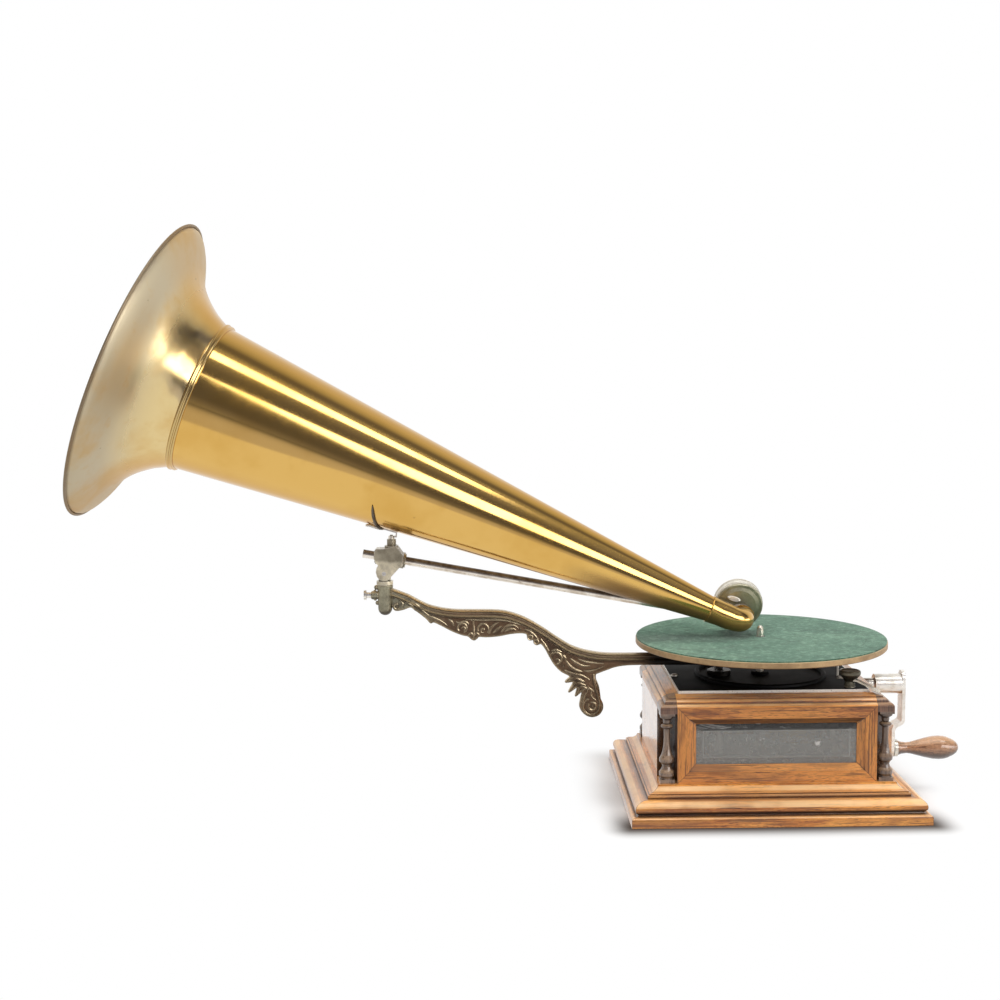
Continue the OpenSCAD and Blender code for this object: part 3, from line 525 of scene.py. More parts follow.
PANE_FLAT = (0.0712, 0.01315)
PANE_Z = 0.07185
# Smudges on the glass: middle x and z, half width and half height.
SMUDGES = ((-0.0266, 0.0762, 0.0042, 0.0028), (-0.0125, 0.0758, 0.0050, 0.0018), (0.0405, 0.0722, 0.0040, 0.0040))


def pane(name, tint):
    """Old bevelled plate glass, a little wavy, with a grey film that thickens where dust lies, a few smudges, painted
    shade on the top bevel and a painted glint along the bevels' edges.
    """
    p = Paint(name)
    place = p.place()
    x, y, z = p.split(place)
    wave = p.noise(place, 22, 2, 0.5)
    dust = p.noise(place, 150, 5, 0.7)
    smear = p.noise(p.scaled(place, 20, 20, 60), 1.0, 5, 0.7, 1.0)
    haze = p.smooth(dust, 0.55, 0.8) * 0.04 + p.smooth(smear, 0.58, 0.75) * 0.05
    over = p.highest(p.size(x) - PANE_FLAT[0], p.size(z - PANE_Z) - PANE_FLAT[1])
    # Painted glint along the edge of the bevels.
    bevel_glint = p.band(over, -0.0002, 0.0003, 0.0003)
    upper = p.smooth(z - PANE_Z, PANE_FLAT[1], PANE_FLAT[1] + 0.0006)
    marks = p.smooth(p.noise(p.scaled(place, 40, 40, 90), 1.0, 5, 0.75, 1.5), 0.66, 0.74)
    for at_x, at_z, wide, tall in SMUDGES:
        off_x, off_z = (x - at_x) / wide, (z - at_z) / tall
        marks = p.highest(marks, p.smooth(off_x * off_x + off_z * off_z, 1.0, 0.1) * p.smooth(dust, 0.46, 0.58))
    # Painted shade on the top bevel, streaked.
    strip = p.mix(p.smooth(smear, 0.54, 0.66), srgb(34, 34, 34), srgb(170, 168, 164))
    # Greys of the film, with the painted shade, the painted glint and the smudges.
    greys = p.layered(srgb(186, 184, 178), [
        (upper * 0.9, strip), (bevel_glint * 0.3, srgb(236, 234, 228)), (marks * 0.9, srgb(250, 248, 244))])
    glass = p.shader("BsdfPrincipled", Base_Color=tint, Transmission_Weight=1.0, IOR=1.5, Roughness=haze * 0.6,
                     Normal=p.bump(wave, 0.08, 0.001))
    film = p.shader("BsdfPrincipled", Base_Color=greys, Roughness=0.6)
    # The film is thicker on the top bevel, for its painted shade, and along the painted glint.
    p.ends(p.blend(haze * 2 + 0.37 + marks * 0.3 + bevel_glint * 0.1 + upper * 0.3, glass, film))
    return p.material


def plain_stuff(name, base, other, rough, scale, depth=0.2):
    """Rubber, mica and other small plain parts, with a mottled face."""
    p = Paint(name)
    place = p.place()
    cloud = p.noise(place, scale, 4, 0.65)
    grit = p.noise(place, scale * 9, 3, 0.7)
    return p.finish(
        Base_Color=p.layered(base, [(p.smooth(cloud, 0.35, 0.7), other), (p.smooth(grit, 0.55, 0.8) * 0.3, other)]),
        Roughness=rough + cloud * 0.15, Normal=p.bump(cloud + grit * 0.5, depth, 0.0003))


# Bands of height on the mouldings, grime painted dark as shade in the quirks and bright painted light as highlight on
# the rolls: low and high in millimetres, and strength.
PLINTH_BANDS = {
    "grime": ((27.0, 27.9, 0.8), (23.4, 24.9, 0.6), (9.8, 12.8, 0.75), (7.3, 7.7, 0.5), (33.8, 34.3, 0.5)),
    "bright": ((29.0, 32.6, 0.8), (25.6, 26.7, 0.5), (18.0, 22.8, 0.8), (8.2, 9.3, 0.5))}
CORNICE_BANDS = {
    "grime": ((115.8, 116.7, 0.5), (112.0, 113.0, 0.5), (108.2, 109.0, 0.45)),
    "bright": ((113.7, 115.3, 0.5), (110.3, 111.7, 0.7))}
OAK = (srgb(246, 166, 76), srgb(198, 116, 42), srgb(84, 40, 12))
FRAME_OAK = (srgb(222, 146, 68), srgb(160, 92, 38), srgb(62, 32, 12))
DARK_OAK = (srgb(142, 116, 96), srgb(100, 78, 62), srgb(44, 32, 26))
END_OAK = (srgb(126, 88, 66), srgb(92, 62, 46), srgb(42, 28, 20))
HANDLE_WOOD = (srgb(184, 138, 104), srgb(146, 104, 74), srgb(88, 58, 38))
GOLD = (0.72, 0.45, 0.13, 1)
# Redder brass, for stains and for the painted reflection where the sheet turns away.
RED_GOLD = (0.60, 0.33, 0.06, 1)
GREY_GOLD = (0.58, 0.49, 0.33, 1)
BELL_GOLD = (0.74, 0.57, 0.28, 1)
RING_GOLD = (0.58, 0.42, 0.18, 1)


# ---------------------------------------------------------------- modelling

# Distance below which two corners are one, in metres, and radius of a cut plate's edges, in millimetres.
DOUBLES = 0.000002
PLATE_EDGE = 0.4


def dress(material, *names):
    """Gives solids their finish."""
    for name in names:
        mesh = NODES[name].data
        mesh.materials.clear()
        mesh.materials.append(material)
        for face in mesh.polygons:
            face.material_index = 0


def coat(piece, material, body, slot, *nodes):
    """Gives a new piece its finish, its body and the nodes that it stands for."""
    piece.data.materials.clear()
    piece.data.materials.append(material)
    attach(piece, body)
    if nodes:
        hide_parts(*nodes)


def clear_selection():
    if bpy.context.object and bpy.context.object.mode != "OBJECT":
        bpy.ops.object.mode_set(mode="OBJECT")
    bpy.ops.object.select_all(action="DESELECT")


def edit_all():
    """Enters edit mode with everything selected."""
    bpy.ops.object.mode_set(mode="EDIT")
    bpy.ops.mesh.select_all(action="SELECT")


def close_edit(merge=None):
    """Merges doubles closer than merge, points the faces outwards and leaves edit mode."""
    bpy.ops.mesh.select_all(action="SELECT")
    if merge:
        bpy.ops.mesh.remove_doubles(threshold=merge)
    bpy.ops.mesh.normals_make_consistent(inside=False)
    bpy.ops.object.mode_set(mode="OBJECT")


def smooth_faces(corner=35):
    bpy.ops.object.shade_smooth_by_angle(angle=math.radians(corner))


def apply_place():
    bpy.ops.object.transform_apply(location=True, rotation=True, scale=True)


def settle(piece, place):
    """Puts a piece where its part stands and leaves its object at the origin."""
    clear_selection()
    piece.select_set(True)
    bpy.context.view_layer.objects.active = piece
    piece.matrix_world = place @ piece.matrix_world
    apply_place()


def joined(name, pieces):
    """Makes one piece out of several."""
    clear_selection()
    for piece in pieces:
        piece.select_set(True)
    bpy.context.view_layer.objects.active = pieces[0]
    bpy.ops.object.join()
    bpy.context.object.name = name
    return bpy.context.object


def turned_sheet(name, profile, place, sides=144, wall=0.0):
    """Turns radius and height pairs, in millimetres, round the axis of a part, and moves the part to its place."""
    clear_selection()
    bpy.ops.mesh.primitive_circle_add(vertices=sides, radius=profile[0][0] * MM, location=(0, 0, profile[0][1] * MM))
    piece = bpy.context.object
    piece.name = name
    apply_place()
    edit_all()
    for before, after in zip(profile, profile[1:]):
        step = (after[1] - before[1]) * MM
        grow = after[0] / before[0]
        bpy.ops.mesh.extrude_region_move(TRANSFORM_OT_translate={"value": (0, 0, step)})
        bpy.ops.transform.resize(value=(grow, grow, 1), center_override=(0, 0, after[1] * MM))
    close_edit(2 * DOUBLES)
    if wall:
        if sum(f.normal.x * f.center.x + f.normal.y * f.center.y for f in piece.data.polygons) < 0:
            edit_all()
            bpy.ops.mesh.flip_normals()
            bpy.ops.object.mode_set(mode="OBJECT")
        thick = piece.modifiers.new("wall", "SOLIDIFY")
        thick.thickness = wall * MM
        thick.offset = -1
        bpy.ops.object.modifier_apply(modifier=thick.name)
    smooth_faces()
    settle(piece, place)
    return piece


def flow(points, steps=6):
    """A smooth run of points through the given ones."""
    run = []
    for i in range(len(points) - 1):
        p0, p1 = points[max(i - 1, 0)], points[i]
        p2, p3 = points[i + 1], points[min(i + 2, len(points) - 1)]
        for k in range(steps):
            t = k / steps
            run.append(tuple(
                0.5 * (2 * b + (c - a) * t + (2 * a - 5 * b + 4 * c - d) * t * t + (3 * b - a - 3 * c + d) * t ** 3)
                for a, b, c, d in zip(p0, p1, p2, p3)))
    run.append(tuple(points[-1]))
    return run


def around(r, first, last, count):
    """Points on a circle, its angles in degrees."""
    angles = [math.radians(first + (last - first) * k / (count - 1)) for k in range(count)]
    return [(r * math.cos(a), r * math.sin(a)) for a in angles]


def start_curve(name, kind):
    """An empty curve, flat (2D) or in space (3D)."""
    clear_selection()
    bpy.ops.curve.primitive_bezier_circle_add(radius=0.01)
    made = bpy.context.object
    made.name = name
    made.data.splines.clear()
    made.data.dimensions = kind
    return made


def draw_line(curve, points):
    """One line through points of x, y, z and radius, in millimetres."""
    line = curve.data.splines.new("POLY")
    line.points.add(len(points) - 1)
    for point, (x, y, z, r) in zip(line.points, points):
        point.co = (x * MM, y * MM, z * MM, 1)
        point.radius = r
    return line


def cast_curve(made, place):
    """Makes a drawn curve a closed mesh that stands in its place."""
    bpy.ops.object.convert(target="MESH")
    piece = bpy.context.object
    settle(piece, place)
    edit_all()
    close_edit(DOUBLES)
    smooth_faces(40)
    return piece


def cut_plate(name, outline, half, place):
    """A plate of the given outline and half thickness, in millimetres, with rounded edges."""
    made = start_curve(name, "2D")
    draw_line(made, [(x, z, 0, 1) for x, z in outline]).use_cyclic_u = True
    made.data.fill_mode = "BOTH"
    made.data.extrude = (half - PLATE_EDGE) * MM
    made.data.bevel_depth = PLATE_EDGE * MM
    made.data.bevel_resolution = 1
    made.data.offset = -PLATE_EDGE * MM
    return cast_curve(made, place)


def rods(name, lines, place, roundness=2):
    """Round rods, each with its own radius at each point."""
    made = start_curve(name, "3D")
    for points in lines:
        draw_line(made, points)
    made.data.bevel_depth = MM
    made.data.bevel_resolution = roundness
    made.data.use_fill_caps = True
    return cast_curve(made, place)


def drawn_strokes(name, strokes, lift, flatness, place):
    """Smooth strokes of x, z and radius on a face that lies lift off the middle, flattened or raised by flatness."""
    lines = [[(x, z, lift / flatness, max(r, 0.05)) for x, z, r in flow(stroke, 4)] for stroke in strokes]
    return rods(name, lines, place @ Matrix.Diagonal((1, 1, flatness, 1)))


# ---------------------------------------------------------------- horn

# Radius and place on the horn's axis, and the flare as places and growth of the radius, in millimetres.
CONE_LOW, CONE_HIGH = (11.49, -364.0), (75.7, 206.0)
BELL_R = 156
BELL_CURVE = ((206.02, 0.05), (211, 1.75), (217, 4.7), (224, 8.6), (231, 13.7), (238, 19.5), (245, 26.6), (251, 34.3),
              (256, 43.3), (260.5, 54.3), (265, 65.9), (270, 75), (273.2, 78.6))
BELL_GROWTH = 81.3
BELL_WIRE = (155.8, 276.2)
ELBOW_R = 12.4
ELBOW_START = -372.0
SLEEVE_TOP = -349
BEND_R = 14.0
NECK_R = 8.4


def cone_at(s):
    """Radius of the cone at a place on its axis."""
    (low_r, low), (high_r, high) = CONE_LOW, CONE_HIGH
    return low_r + (high_r - low_r) * (s - low) / (high - low)


def horn_cone_sheet():
    """The straight cone, in rows along its axis."""
    rows = [CONE_LOW[1] + i * (CONE_HIGH[1] - CONE_LOW[1]) / 24 for i in range(25)]
    return turned_sheet("cone_sheet", [(cone_at(s), s) for s in rows], on_horn(), 160, 0.6)


def horn_bell_sheet():
    """The flare, rolled outwards round its wire."""
    grown = (BELL_R - CONE_HIGH[0]) / BELL_GROWTH
    profile = [(CONE_HIGH[0] + v * grown, s) for s, v in flow(BELL_CURVE, 4)]
    profile += [(BELL_WIRE[0] + r, BELL_WIRE[1] + s) for r, s in around(1.2, 158, -157, 16)]
    return turned_sheet("bell_sheet", profile, on_horn(), 192, 0.3)


def horn_joint_ring():
    """Two beads, the larger one towards the mouth."""
    r = CONE_HIGH[0]
    beads = [(r - 0.3, 202.7)]
    for middle, size, s in ((0.9, 1.2, 204.0), (1.4, 1.55, 207.9)):
        beads += [(r + middle + a, s + b) for a, b in around(size, -80, 80, 9)]
    beads += [(r + 0.6, 209.7), (r - 0.3, 206.2), (r - 0.3, 202.7)]
    return turned_sheet("ring_beads", beads, on_horn(), 160)


def horn_elbow_tube():
    """Sleeve on the end of the cone, then one bend round to the neck of the sound box."""
    r, wide = ELBOW_R, cone_at(SLEEVE_TOP)
    sleeve = turned_sheet("elbow_tube", [
        (r - 0.5, ELBOW_START - 1), (r + 0.45, ELBOW_START - 1), (r + 0.6, ELBOW_START - 0.4), (r + 0.6, -362),
        (wide + 0.6, -350.4), (wide + 0.9, -349.8), (wide + 0.7, -349.1), (wide + 0.05, SLEEVE_TOP), (r - 0.5, -364),
        (r - 0.5, ELBOW_START - 1)], on_horn(), 96)
    run = Vector((math.cos(HORN_PITCH), 0, -math.sin(HORN_PITCH)))
    start = Vector(PIVOT) - run * ELBOW_START * MM
    end = Vector((0, math.cos(BOX_TILT), math.sin(BOX_TILT)))
    turn = run.angle(end)
    side = (end - run * math.cos(turn)) / math.sin(turn)
    centre = start + side * BEND_R * MM
    axis = run.cross(side)
    clear_selection()
    bpy.ops.mesh.primitive_circle_add(vertices=96, radius=r * MM, location=start,
                                      rotation=run.to_track_quat("Z", "Y").to_euler())
    bend = bpy.context.object
    apply_place()
    edit_all()
    bpy.ops.mesh.spin(steps=26, angle=-turn, center=centre, axis=axis)
    mouth = centre + Matrix.Rotation(turn, 3, axis) @ (start - centre)
    for grow, step in (((r + 0.5) / r, 0.0), (1.0, 2.1), (NECK_R / (r + 0.5), 0.0), (0.99, -3.0)):
        bpy.ops.mesh.extrude_region_move(TRANSFORM_OT_translate={"value": end * step * MM})
        mouth = mouth + end * step * MM
        bpy.ops.transform.resize(value=(grow, grow, grow), center_override=mouth)
    close_edit()
    smooth_faces()
    settle(bend, at_bracket())
    return joined("elbow_tube", [sleeve, bend])


def horn_strap(name, points):
    """Rod that lies on the cone: place on the axis, angle, distance off the sheet and radius of each point."""
    line = []
    for s, angle, off, r in points:
        a, out = math.radians(angle), cone_at(s) + off
        line.append((out * math.cos(a), out * math.sin(a), s, r))
    return rods(name, [line], on_horn(), 3)


def wrap_hook():
    """Iron strap that lies on the cone above its lug."""
    radii = (1.7, 1.6, 1.5, 1.4, 1.4, 1.5, 1.7, 1.4, 0.5)
    return horn_strap("lug_hook", [(-12.0 + 2.0 * k, 182 + 7 * k, 0.75, r) for k, r in enumerate(radii)])


def lug_clip():
    """Short bright tongue that runs from the lug along the underside of the cone."""
    radii = (0.8, 1.5, 1.6, 1.6, 1.7, 1.2)
    return horn_strap("lug_clip", [(-13.0 + 3.4 * k, 184 + 2.4 * k, 1.2 if k < 5 else 2.4, r)
                                   for k, r in enumerate(radii)])


# ---------------------------------------------------------------- scroll arm

# The arm seen from the front, in millimetres: x, top and underside of its band, and x and z of its web's edge.
ARM_BAND = (
    (-383, 215.4, 206), (-376, 213.6, 205.4), (-369, 211, 203), (-359, 207, 198.6), (-350, 202, 193.6),
    (-340, 197, 189), (-330, 194, 186), (-319, 192, 184), (-307, 191, 183), (-291, 190.8, 182.6), (-272, 190.4, 182),
    (-260, 189, 180.6), (-248, 185.4, 177), (-237, 180.4, 172), (-223, 172, 163.6), (-213, 165, 156.8),
    (-204, 159, 150.6), (-194, 153, 144.8), (-182, 148.6, 140.8), (-168, 145.6, 138), (-155, 144.3, 137),
    (-135, 144, 136.6), (-90, 144, 136), (-42, 144, 136))
WEB_EDGE = ((-376, 196), (-373.5, 191.6), (-370, 190.8), (-364, 192), (-357, 194.2), (-352.6, 191), (-349, 188.6),
            (-341, 182), (-337, 177.6), (-333.4, 178.4), (-325, 174.4), (-315, 169), (-305, 165), (-299, 163.6),
            (-296, 161), (-293, 159.4), (-290, 161), (-287.6, 163), (-280, 162.6), (-268, 163.4), (-256, 165.6),
            (-245, 166.4), (-239, 165), (-238, 161), (-235.4, 158.8), (-232.4, 159), (-231.4, 155.4), (-229, 153.8),
            (-226.4, 154.6), (-224, 154.6), (-220, 149.6), (-216, 142), (-211, 133.4), (-204, 126), (-196, 121.6),
            (-195.4, 119.4), (-199.4, 115.4), (-198.4, 114.4), (-192, 115), (-192.6, 111.6), (-196, 105.4),
            (-195.2, 104.4), (-187.8, 109), (-189.4, 101), (-188.4, 100.4), (-182.8, 104.6), (-184, 97), (-185, 90),
            (-182.6, 84), (-177.6, 79.6), (-171.4, 78.2), (-165.4, 80.6), (-161.8, 86), (-161.8, 91.4), (-163.8, 96),
            (-164.6, 101), (-166, 110), (-169, 118), (-168.6, 122.6), (-165, 124.4), (-157, 127.4), (-147, 130.6),
            (-130, 132.2), (-90, 132), (-42, 132))


def ring_stroke(x, z, r, first, last, thick, thin):
    """Part of a circle as a stroke that tapers."""
    return [(x + a, z + b, thick + (thin - thick) * k / 8) for k, (a, b) in enumerate(around(r, first, last, 9))]


def bulb(x, z, r):
    """A round bead as one short stroke."""
    return [(x + off, z, r * part) for off, part in ((-0.05, 0.2), (-0.03, 0.8), (0, 1), (0.03, 0.8), (0.05, 0.2))]


# Leaves, scrolls and beads of one face: strokes of x, z and radius.
CARVING = (
    ring_stroke(-371, 195, 2.7, 60, 330, 1.3, 0.6), bulb(-370.6, 194.8, 1.1),
    [(-367.4, 201, 0.4), (-364.8, 198, 1.3), (-365.8, 194.6, 0.6)],
    [(-362, 200.4, 0.4), (-358, 198, 1.4), (-354, 194.8, 0.5)],
    [(-356, 200.6, 0.3), (-350, 196.4, 1.2), (-345, 191, 0.9), (-339, 186, 0.5)], bulb(-352, 192.2, 1.6),
    bulb(-348.6, 189.6, 1.5), bulb(-335.4, 179.2, 1.8),
    [(-342, 186.4, 0.4), (-334, 183.4, 1.1), (-326, 179.6, 0.8), (-320, 175, 0.4)],
    [(-318.6, 181.4, 0.5), (-315.2, 179, 1.4), (-313.4, 174.6, 0.6)],
    ring_stroke(-304.6, 172.2, 4.8, 215, -70, 1.2, 0.7), ring_stroke(-303.6, 171.4, 1.9, -60, 170, 1.0, 0.5),
    [(-311, 178.8, 0.4), (-308, 177.6, 1.1), (-301, 178.6, 1.2), (-298, 175.8, 0.5)],
    [(-293.4, 179, 1.2), (-292.8, 174.6, 0.8), (-292.6, 169.6, 1.2), (-293, 164, 1.5), (-293, 161.4, 0.8)],
    [(-298.4, 164.8, 0.7), (-296, 167, 1.1), (-293.4, 164.6, 0.8)],
    [(-287.6, 164.8, 0.7), (-290, 167, 1.1), (-292.6, 164.6, 0.8)],
    ring_stroke(-283.4, 170.6, 5.6, 195, -40, 1.3, 0.6), ring_stroke(-283.8, 169.2, 2.0, 30, 300, 1.1, 0.5),
    [(-277.4, 166.6, 1.1), (-275.4, 171.6, 1.4), (-271.6, 175.4, 1.0), (-267.6, 177.2, 0.3)],
    [(-273.6, 166.8, 0.5), (-270.2, 169.4, 1.4), (-266.8, 172, 1.0), (-264.8, 173.6, 0.3)],
    [(-265, 167.6, 0.9), (-261.4, 172, 1.4), (-256.6, 174.4, 1.2), (-251.2, 174.2, 0.7), (-247.6, 171.4, 0.3)],
    [(-261.6, 167.8, 0.4), (-257.6, 170.4, 1.3), (-252.6, 170.8, 0.8), (-250, 169.6, 0.3)], bulb(-245.8, 170.4, 1.4),
    ring_stroke(-235.4, 161.6, 2.5, 0, 355, 0.8, 0.8), bulb(-235.4, 161.6, 1.1),
    ring_stroke(-229.2, 156.8, 2.2, 0, 355, 0.8, 0.8), bulb(-229.2, 156.8, 1.0),
    [(-241, 170, 0.4), (-235.6, 168, 1.1), (-230.6, 163.8, 0.9), (-227, 159, 0.4)],
    [(-302, 181, 0.3), (-284, 180, 0.9), (-268, 180, 0.9), (-255, 178, 0.6), (-246, 174.6, 0.3)],
    [(-224.6, 160, 0.4), (-220, 153.6, 1.1), (-216.4, 147.4, 0.6)],
    ring_stroke(-209.4, 139.6, 6.3, 168, -80, 1.4, 0.9), ring_stroke(-207.8, 136.6, 2.4, -100, 140, 1.1, 0.5),
    [(-213.6, 147.6, 0.5), (-209, 148.6, 1.2), (-203.4, 146.2, 0.5)],
    [(-201.8, 143, 1.0), (-199.6, 140, 1.2), (-199.4, 136, 0.4)], bulb(-201.4, 131.6, 1.4),
    [(-198.6, 137, 0.6), (-194.8, 131.8, 1.5), (-189.6, 128, 1.4), (-182.6, 125.8, 0.5)],
    [(-195, 139.8, 0.4), (-188.6, 135, 1.4), (-181.4, 131.8, 1.1), (-174, 131.2, 0.3)],
    [(-187, 139, 0.3), (-179, 136, 1.1), (-170, 134.6, 0.8), (-160, 133.6, 0.3)],
    [(-201, 127.6, 0.5), (-196, 125, 1.4), (-189.4, 123, 1.6), (-182, 121.4, 1.2), (-175, 117, 0.5)],
    [(-181, 126.6, 0.4), (-174.6, 126, 1.3), (-168, 127.6, 0.8), (-160, 131, 0.3)],
    [(-197.6, 115, 0.3), (-193.4, 117.4, 1.5), (-187.6, 118.4, 1.6), (-180.6, 115.2, 0.8)],
    [(-195, 105.2, 0.3), (-191.6, 110.4, 1.5), (-186, 113.4, 1.6), (-179, 111.2, 0.8)],
    [(-188.2, 101.2, 0.3), (-185.6, 106.8, 1.4), (-181.2, 109.6, 1.4), (-175.8, 107, 0.7)],
    [(-182.4, 105.4, 0.3), (-179.6, 107.6, 1.0), (-175, 108.2, 1.0), (-170.6, 104.6, 0.5)],
    [(-171, 123, 0.8), (-169.8, 115, 1.5), (-167.6, 106, 1.6), (-165.2, 98, 1.4), (-163.8, 91, 1.1)],
    ring_stroke(-172.8, 89, 8.6, 10, -250, 1.6, 1.1), ring_stroke(-172.2, 89.6, 4.0, 150, 470, 1.5, 0.7),
    bulb(-172, 89.8, 1.6), [(-176.6, 106, 0.6), (-179.6, 100, 1.3), (-181.6, 93, 1.1)],
    [(-173.6, 105, 0.4), (-172.6, 99.6, 1.0), (-168.6, 95.6, 0.6)])
RISE = Matrix.Rotation(math.pi / 2, 4, "X")
BAND_HALF, WEB_HALF = 3.3, 2.2
SOCKET = [(7.2, 196), (7.6, 211), (8.0, 213), (8.3, 215), (8.2, 216.8), (7.6, 217.4), (5.2, 217.4), (5.2, 200),
          (0.02, 200)]
BOSS = [(3.6, 4), (4.2, 7), (4.4, 12), (4.2, 13.6), (3.6, 14), (0.02, 14)]
FOOT = [(0.02, 121.25), (12, 121.25), (12, 125.2), (11.4, 125.95), (4.4, 126), (4, 127), (4, 131), (6, 132.4),
        (10.4, 133), (11, 134), (11, 143), (10.2, 144), (0.02, 144)]
# Knobs of the capital at the socket: x from the post, z and radius.
KNOBS = ((-7.6, 198.6, 2.3), (-8.6, 214.6, 2.5), (-10.2, 210.8, 1.6), (-10, 202.4, 1.6))


def scroll_arm():
    """The cast arm: railed band, openwork web, leaves and scrolls on both faces, socket and foot."""
    over, below = [(x, z) for x, z, _ in ARM_BAND], [(x, z) for x, _, z in ARM_BAND]
    top, under, web = flow(over, 4), flow(below, 4), flow(WEB_EDGE, 3)
    parts = [
        cut_plate("arm_band", top + under[::-1], BAND_HALF, RISE),
        cut_plate("arm_web", [p for p in under if p[0] >= WEB_EDGE[0][0]] + web[::-1], WEB_HALF, RISE),
        drawn_strokes("arm_rail", [[(x, z - 1.6, 1.7) for x, z in over]], 0, 2.7, RISE),
        drawn_strokes("arm_bead", [[(x, z + 1.3, 1.35) for x, z in below]], 0, 3.7, RISE),
        drawn_strokes("web_lip", [[(x, z, 0.75) for x, z in WEB_EDGE]], 0, 3.6, RISE),
    ]
    parts += [drawn_strokes("leaves", CARVING, 2.3 * face, 1.15, RISE) for face in (1, -1)]
    post = Matrix.Translation((BRACKET_X, 0, 0))
    ball = [(x, 193 + z) for x, z in around(7.1, -89, -1, 12)]
    parts.append(turned_sheet("arm_socket", ball + SOCKET, post, 64))
    out = post @ Matrix.Translation((0, 0, 0.2066)) @ Matrix.Rotation(-math.pi / 2, 4, "Y")
    parts.append(turned_sheet("arm_boss", BOSS, out, 40))
    for x, z, r in KNOBS:
        at_knob = post @ Matrix.Translation((x * MM, 0, z * MM))
        parts.append(turned_sheet("arm_knob", around(r, -89, 79, 13) + [(0.02, r)], at_knob, 24))
    parts.append(turned_sheet("arm_foot", FOOT, Matrix.Translation((-0.042, 0, 0)), 64))
    return joined("scroll_arm", parts)


# ---------------------------------------------------------------- operators

class MACHINE_PG_sizes(bpy.types.PropertyGroup):
    """Sizes and colours that may be changed."""
    floor_size: bpy.props.FloatProperty(name="Floor", description="Width of the floor", default=9.0, unit="LENGTH")
    lens: bpy.props.FloatProperty(name="Lens", description="Focal length of the camera", default=54.05, unit="CAMERA")
    felt: bpy.props.FloatVectorProperty(name="Felt", description="Colour of the felt", subtype="COLOR", size=4,
                                        default=srgb(70, 113, 90))
    horn: bpy.props.FloatVectorProperty(name="Horn", description="Colour of the cone and the elbow",
                                        subtype="COLOR", size=4, default=GOLD)


# Finish, its three colours, its seed and settings, and the solids that get it.
METALS = (
    (plated, "nickel", (238, 230, 216), (196, 184, 164), (96, 72, 50), (1.0,), {},
     "winding_arbor turntable_spindle governor_spindle horn_lug motor_pillars"),
    (plated, "crank_nickel", (252, 248, 240), (222, 212, 194), (110, 84, 60), (3.0, 0.2, 0.4, 0.6), {},
     "crank_shaft crank_arm"),
    (plated, "lever_nickel", (232, 224, 208), (190, 178, 158), (90, 68, 46), (4.0, 0.26, 0.5, 0.8),
     {"shaded": (0, 0.067)}, "brake_lever"),
    # The rod's faces that look up get painted shade.
    (plated, "rod_nickel", (246, 238, 226), (200, 184, 164), (64, 42, 30), (6.0, 0.2, 0.95, 0.85),
     {"top": srgb(124, 112, 100)}, "travelling_arm"),
    (plated, "cream_rim", (232, 228, 216), (200, 192, 176), (150, 130, 100), (4.0, 0.3, 0.2, 0.4), {},
     "sound_box_rim"),
    (plated, "bright_steel", (240, 236, 226), (196, 188, 174), (100, 78, 56), (9.0, 0.2, 0.3), {},
     "arm_thumbscrew pivot_screw needle needle_screw needle_bar crank_bush crank_ferrule mainspring"),
    (plated, "screw_steel", (240, 236, 226), (196, 188, 174), (100, 78, 56), (9.5, 0.3, 0.3),
     {"shaded": (-0.084, 0.084)}, "board_screws"),
    (casting, "grey_casting", (246, 234, 204), (92, 84, 68), (250, 244, 228), (6.0, 0.34, 0.4),
     {"dark_above": 0.243}, "swivel_post swivel_head"),
    (casting, "plate_casting", (88, 92, 86), (48, 50, 46), (140, 140, 130), (8.0, 0.55, 0.4), {}, "motor_plate"),
    (casting, "box_back", (186, 180, 152), (112, 108, 88), (222, 216, 192), (3.0, 0.34, 0.7), {}, "sound_box_back"),
    (casting, "platter_rim", (188, 156, 114), (128, 100, 70), (214, 190, 150), (5.0, 0.45, 0.4), {}, "platter"),
    (casting, "post_bronze", (122, 116, 98), (40, 36, 30), (150, 144, 126), (4.0, 0.4, 0.6), {}, "brake_post"),
)


class MACHINE_OT_wood(bpy.types.Operator):
    """Puts the oak finishes on the case"""
    bl_idname = "machine.wood"
    bl_label = "Case woods"

    def execute(self, context):
        def plank(node, grain, tones, seed, **more):
            dress(oak(node + "_oak", grain, *tones, seed, **more), node)

        plank("plinth", "x", OAK, 1.7, mitre=("flat", PLINTH_HW, PLINTH_HD), gloss=0.26, coat=0.45, **PLINTH_BANDS)
        plank("floor_board", "x", DARK_OAK, 2.2, gloss=0.6, coat=0.0)
        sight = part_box("window_frame_front")[1][0]
        for k, end in enumerate(("front", "back")):
            plank("window_frame_" + end, "x", FRAME_OAK, 4.1 + k, mitre=("up", FRAME_HW, FRAME_HH), coat=0.4,
                  recess=("x", sight))
            plank("cornice_" + end, "x", OAK, 7.3 + k, gloss=0.26, coat=0.6, **CORNICE_BANDS)
        for k, hand in enumerate(("left", "right")):
            plank("cornice_" + hand, "y", OAK, 11.9 + k, gloss=0.3, coat=0.5, **CORNICE_BANDS)
            plank("side_panel_" + hand, "y", OAK, 13.9 + k, gloss=0.16, coat=1.0, recess=("y", PANEL_HD))
        for k, corner in enumerate(("front_left", "front_right", "back_left", "back_right")):
            plank("column_" + corner, "z", DARK_OAK, 20.3 + k, gloss=0.3, coat=0.7)
            # The corner blocks get a band of painted shade and dentils with painted shade in their gaps.
            plank("cornice_block_" + corner, "z", END_OAK, 31.1 + k, gloss=0.3, coat=0.5,
                  grime=((106.9, 107.5, 0.6),), teeth=True)
        plank("crank_handle", "x", HANDLE_WOOD, 5.5, gloss=0.2, coat=0.8)
        return {"FINISHED"}


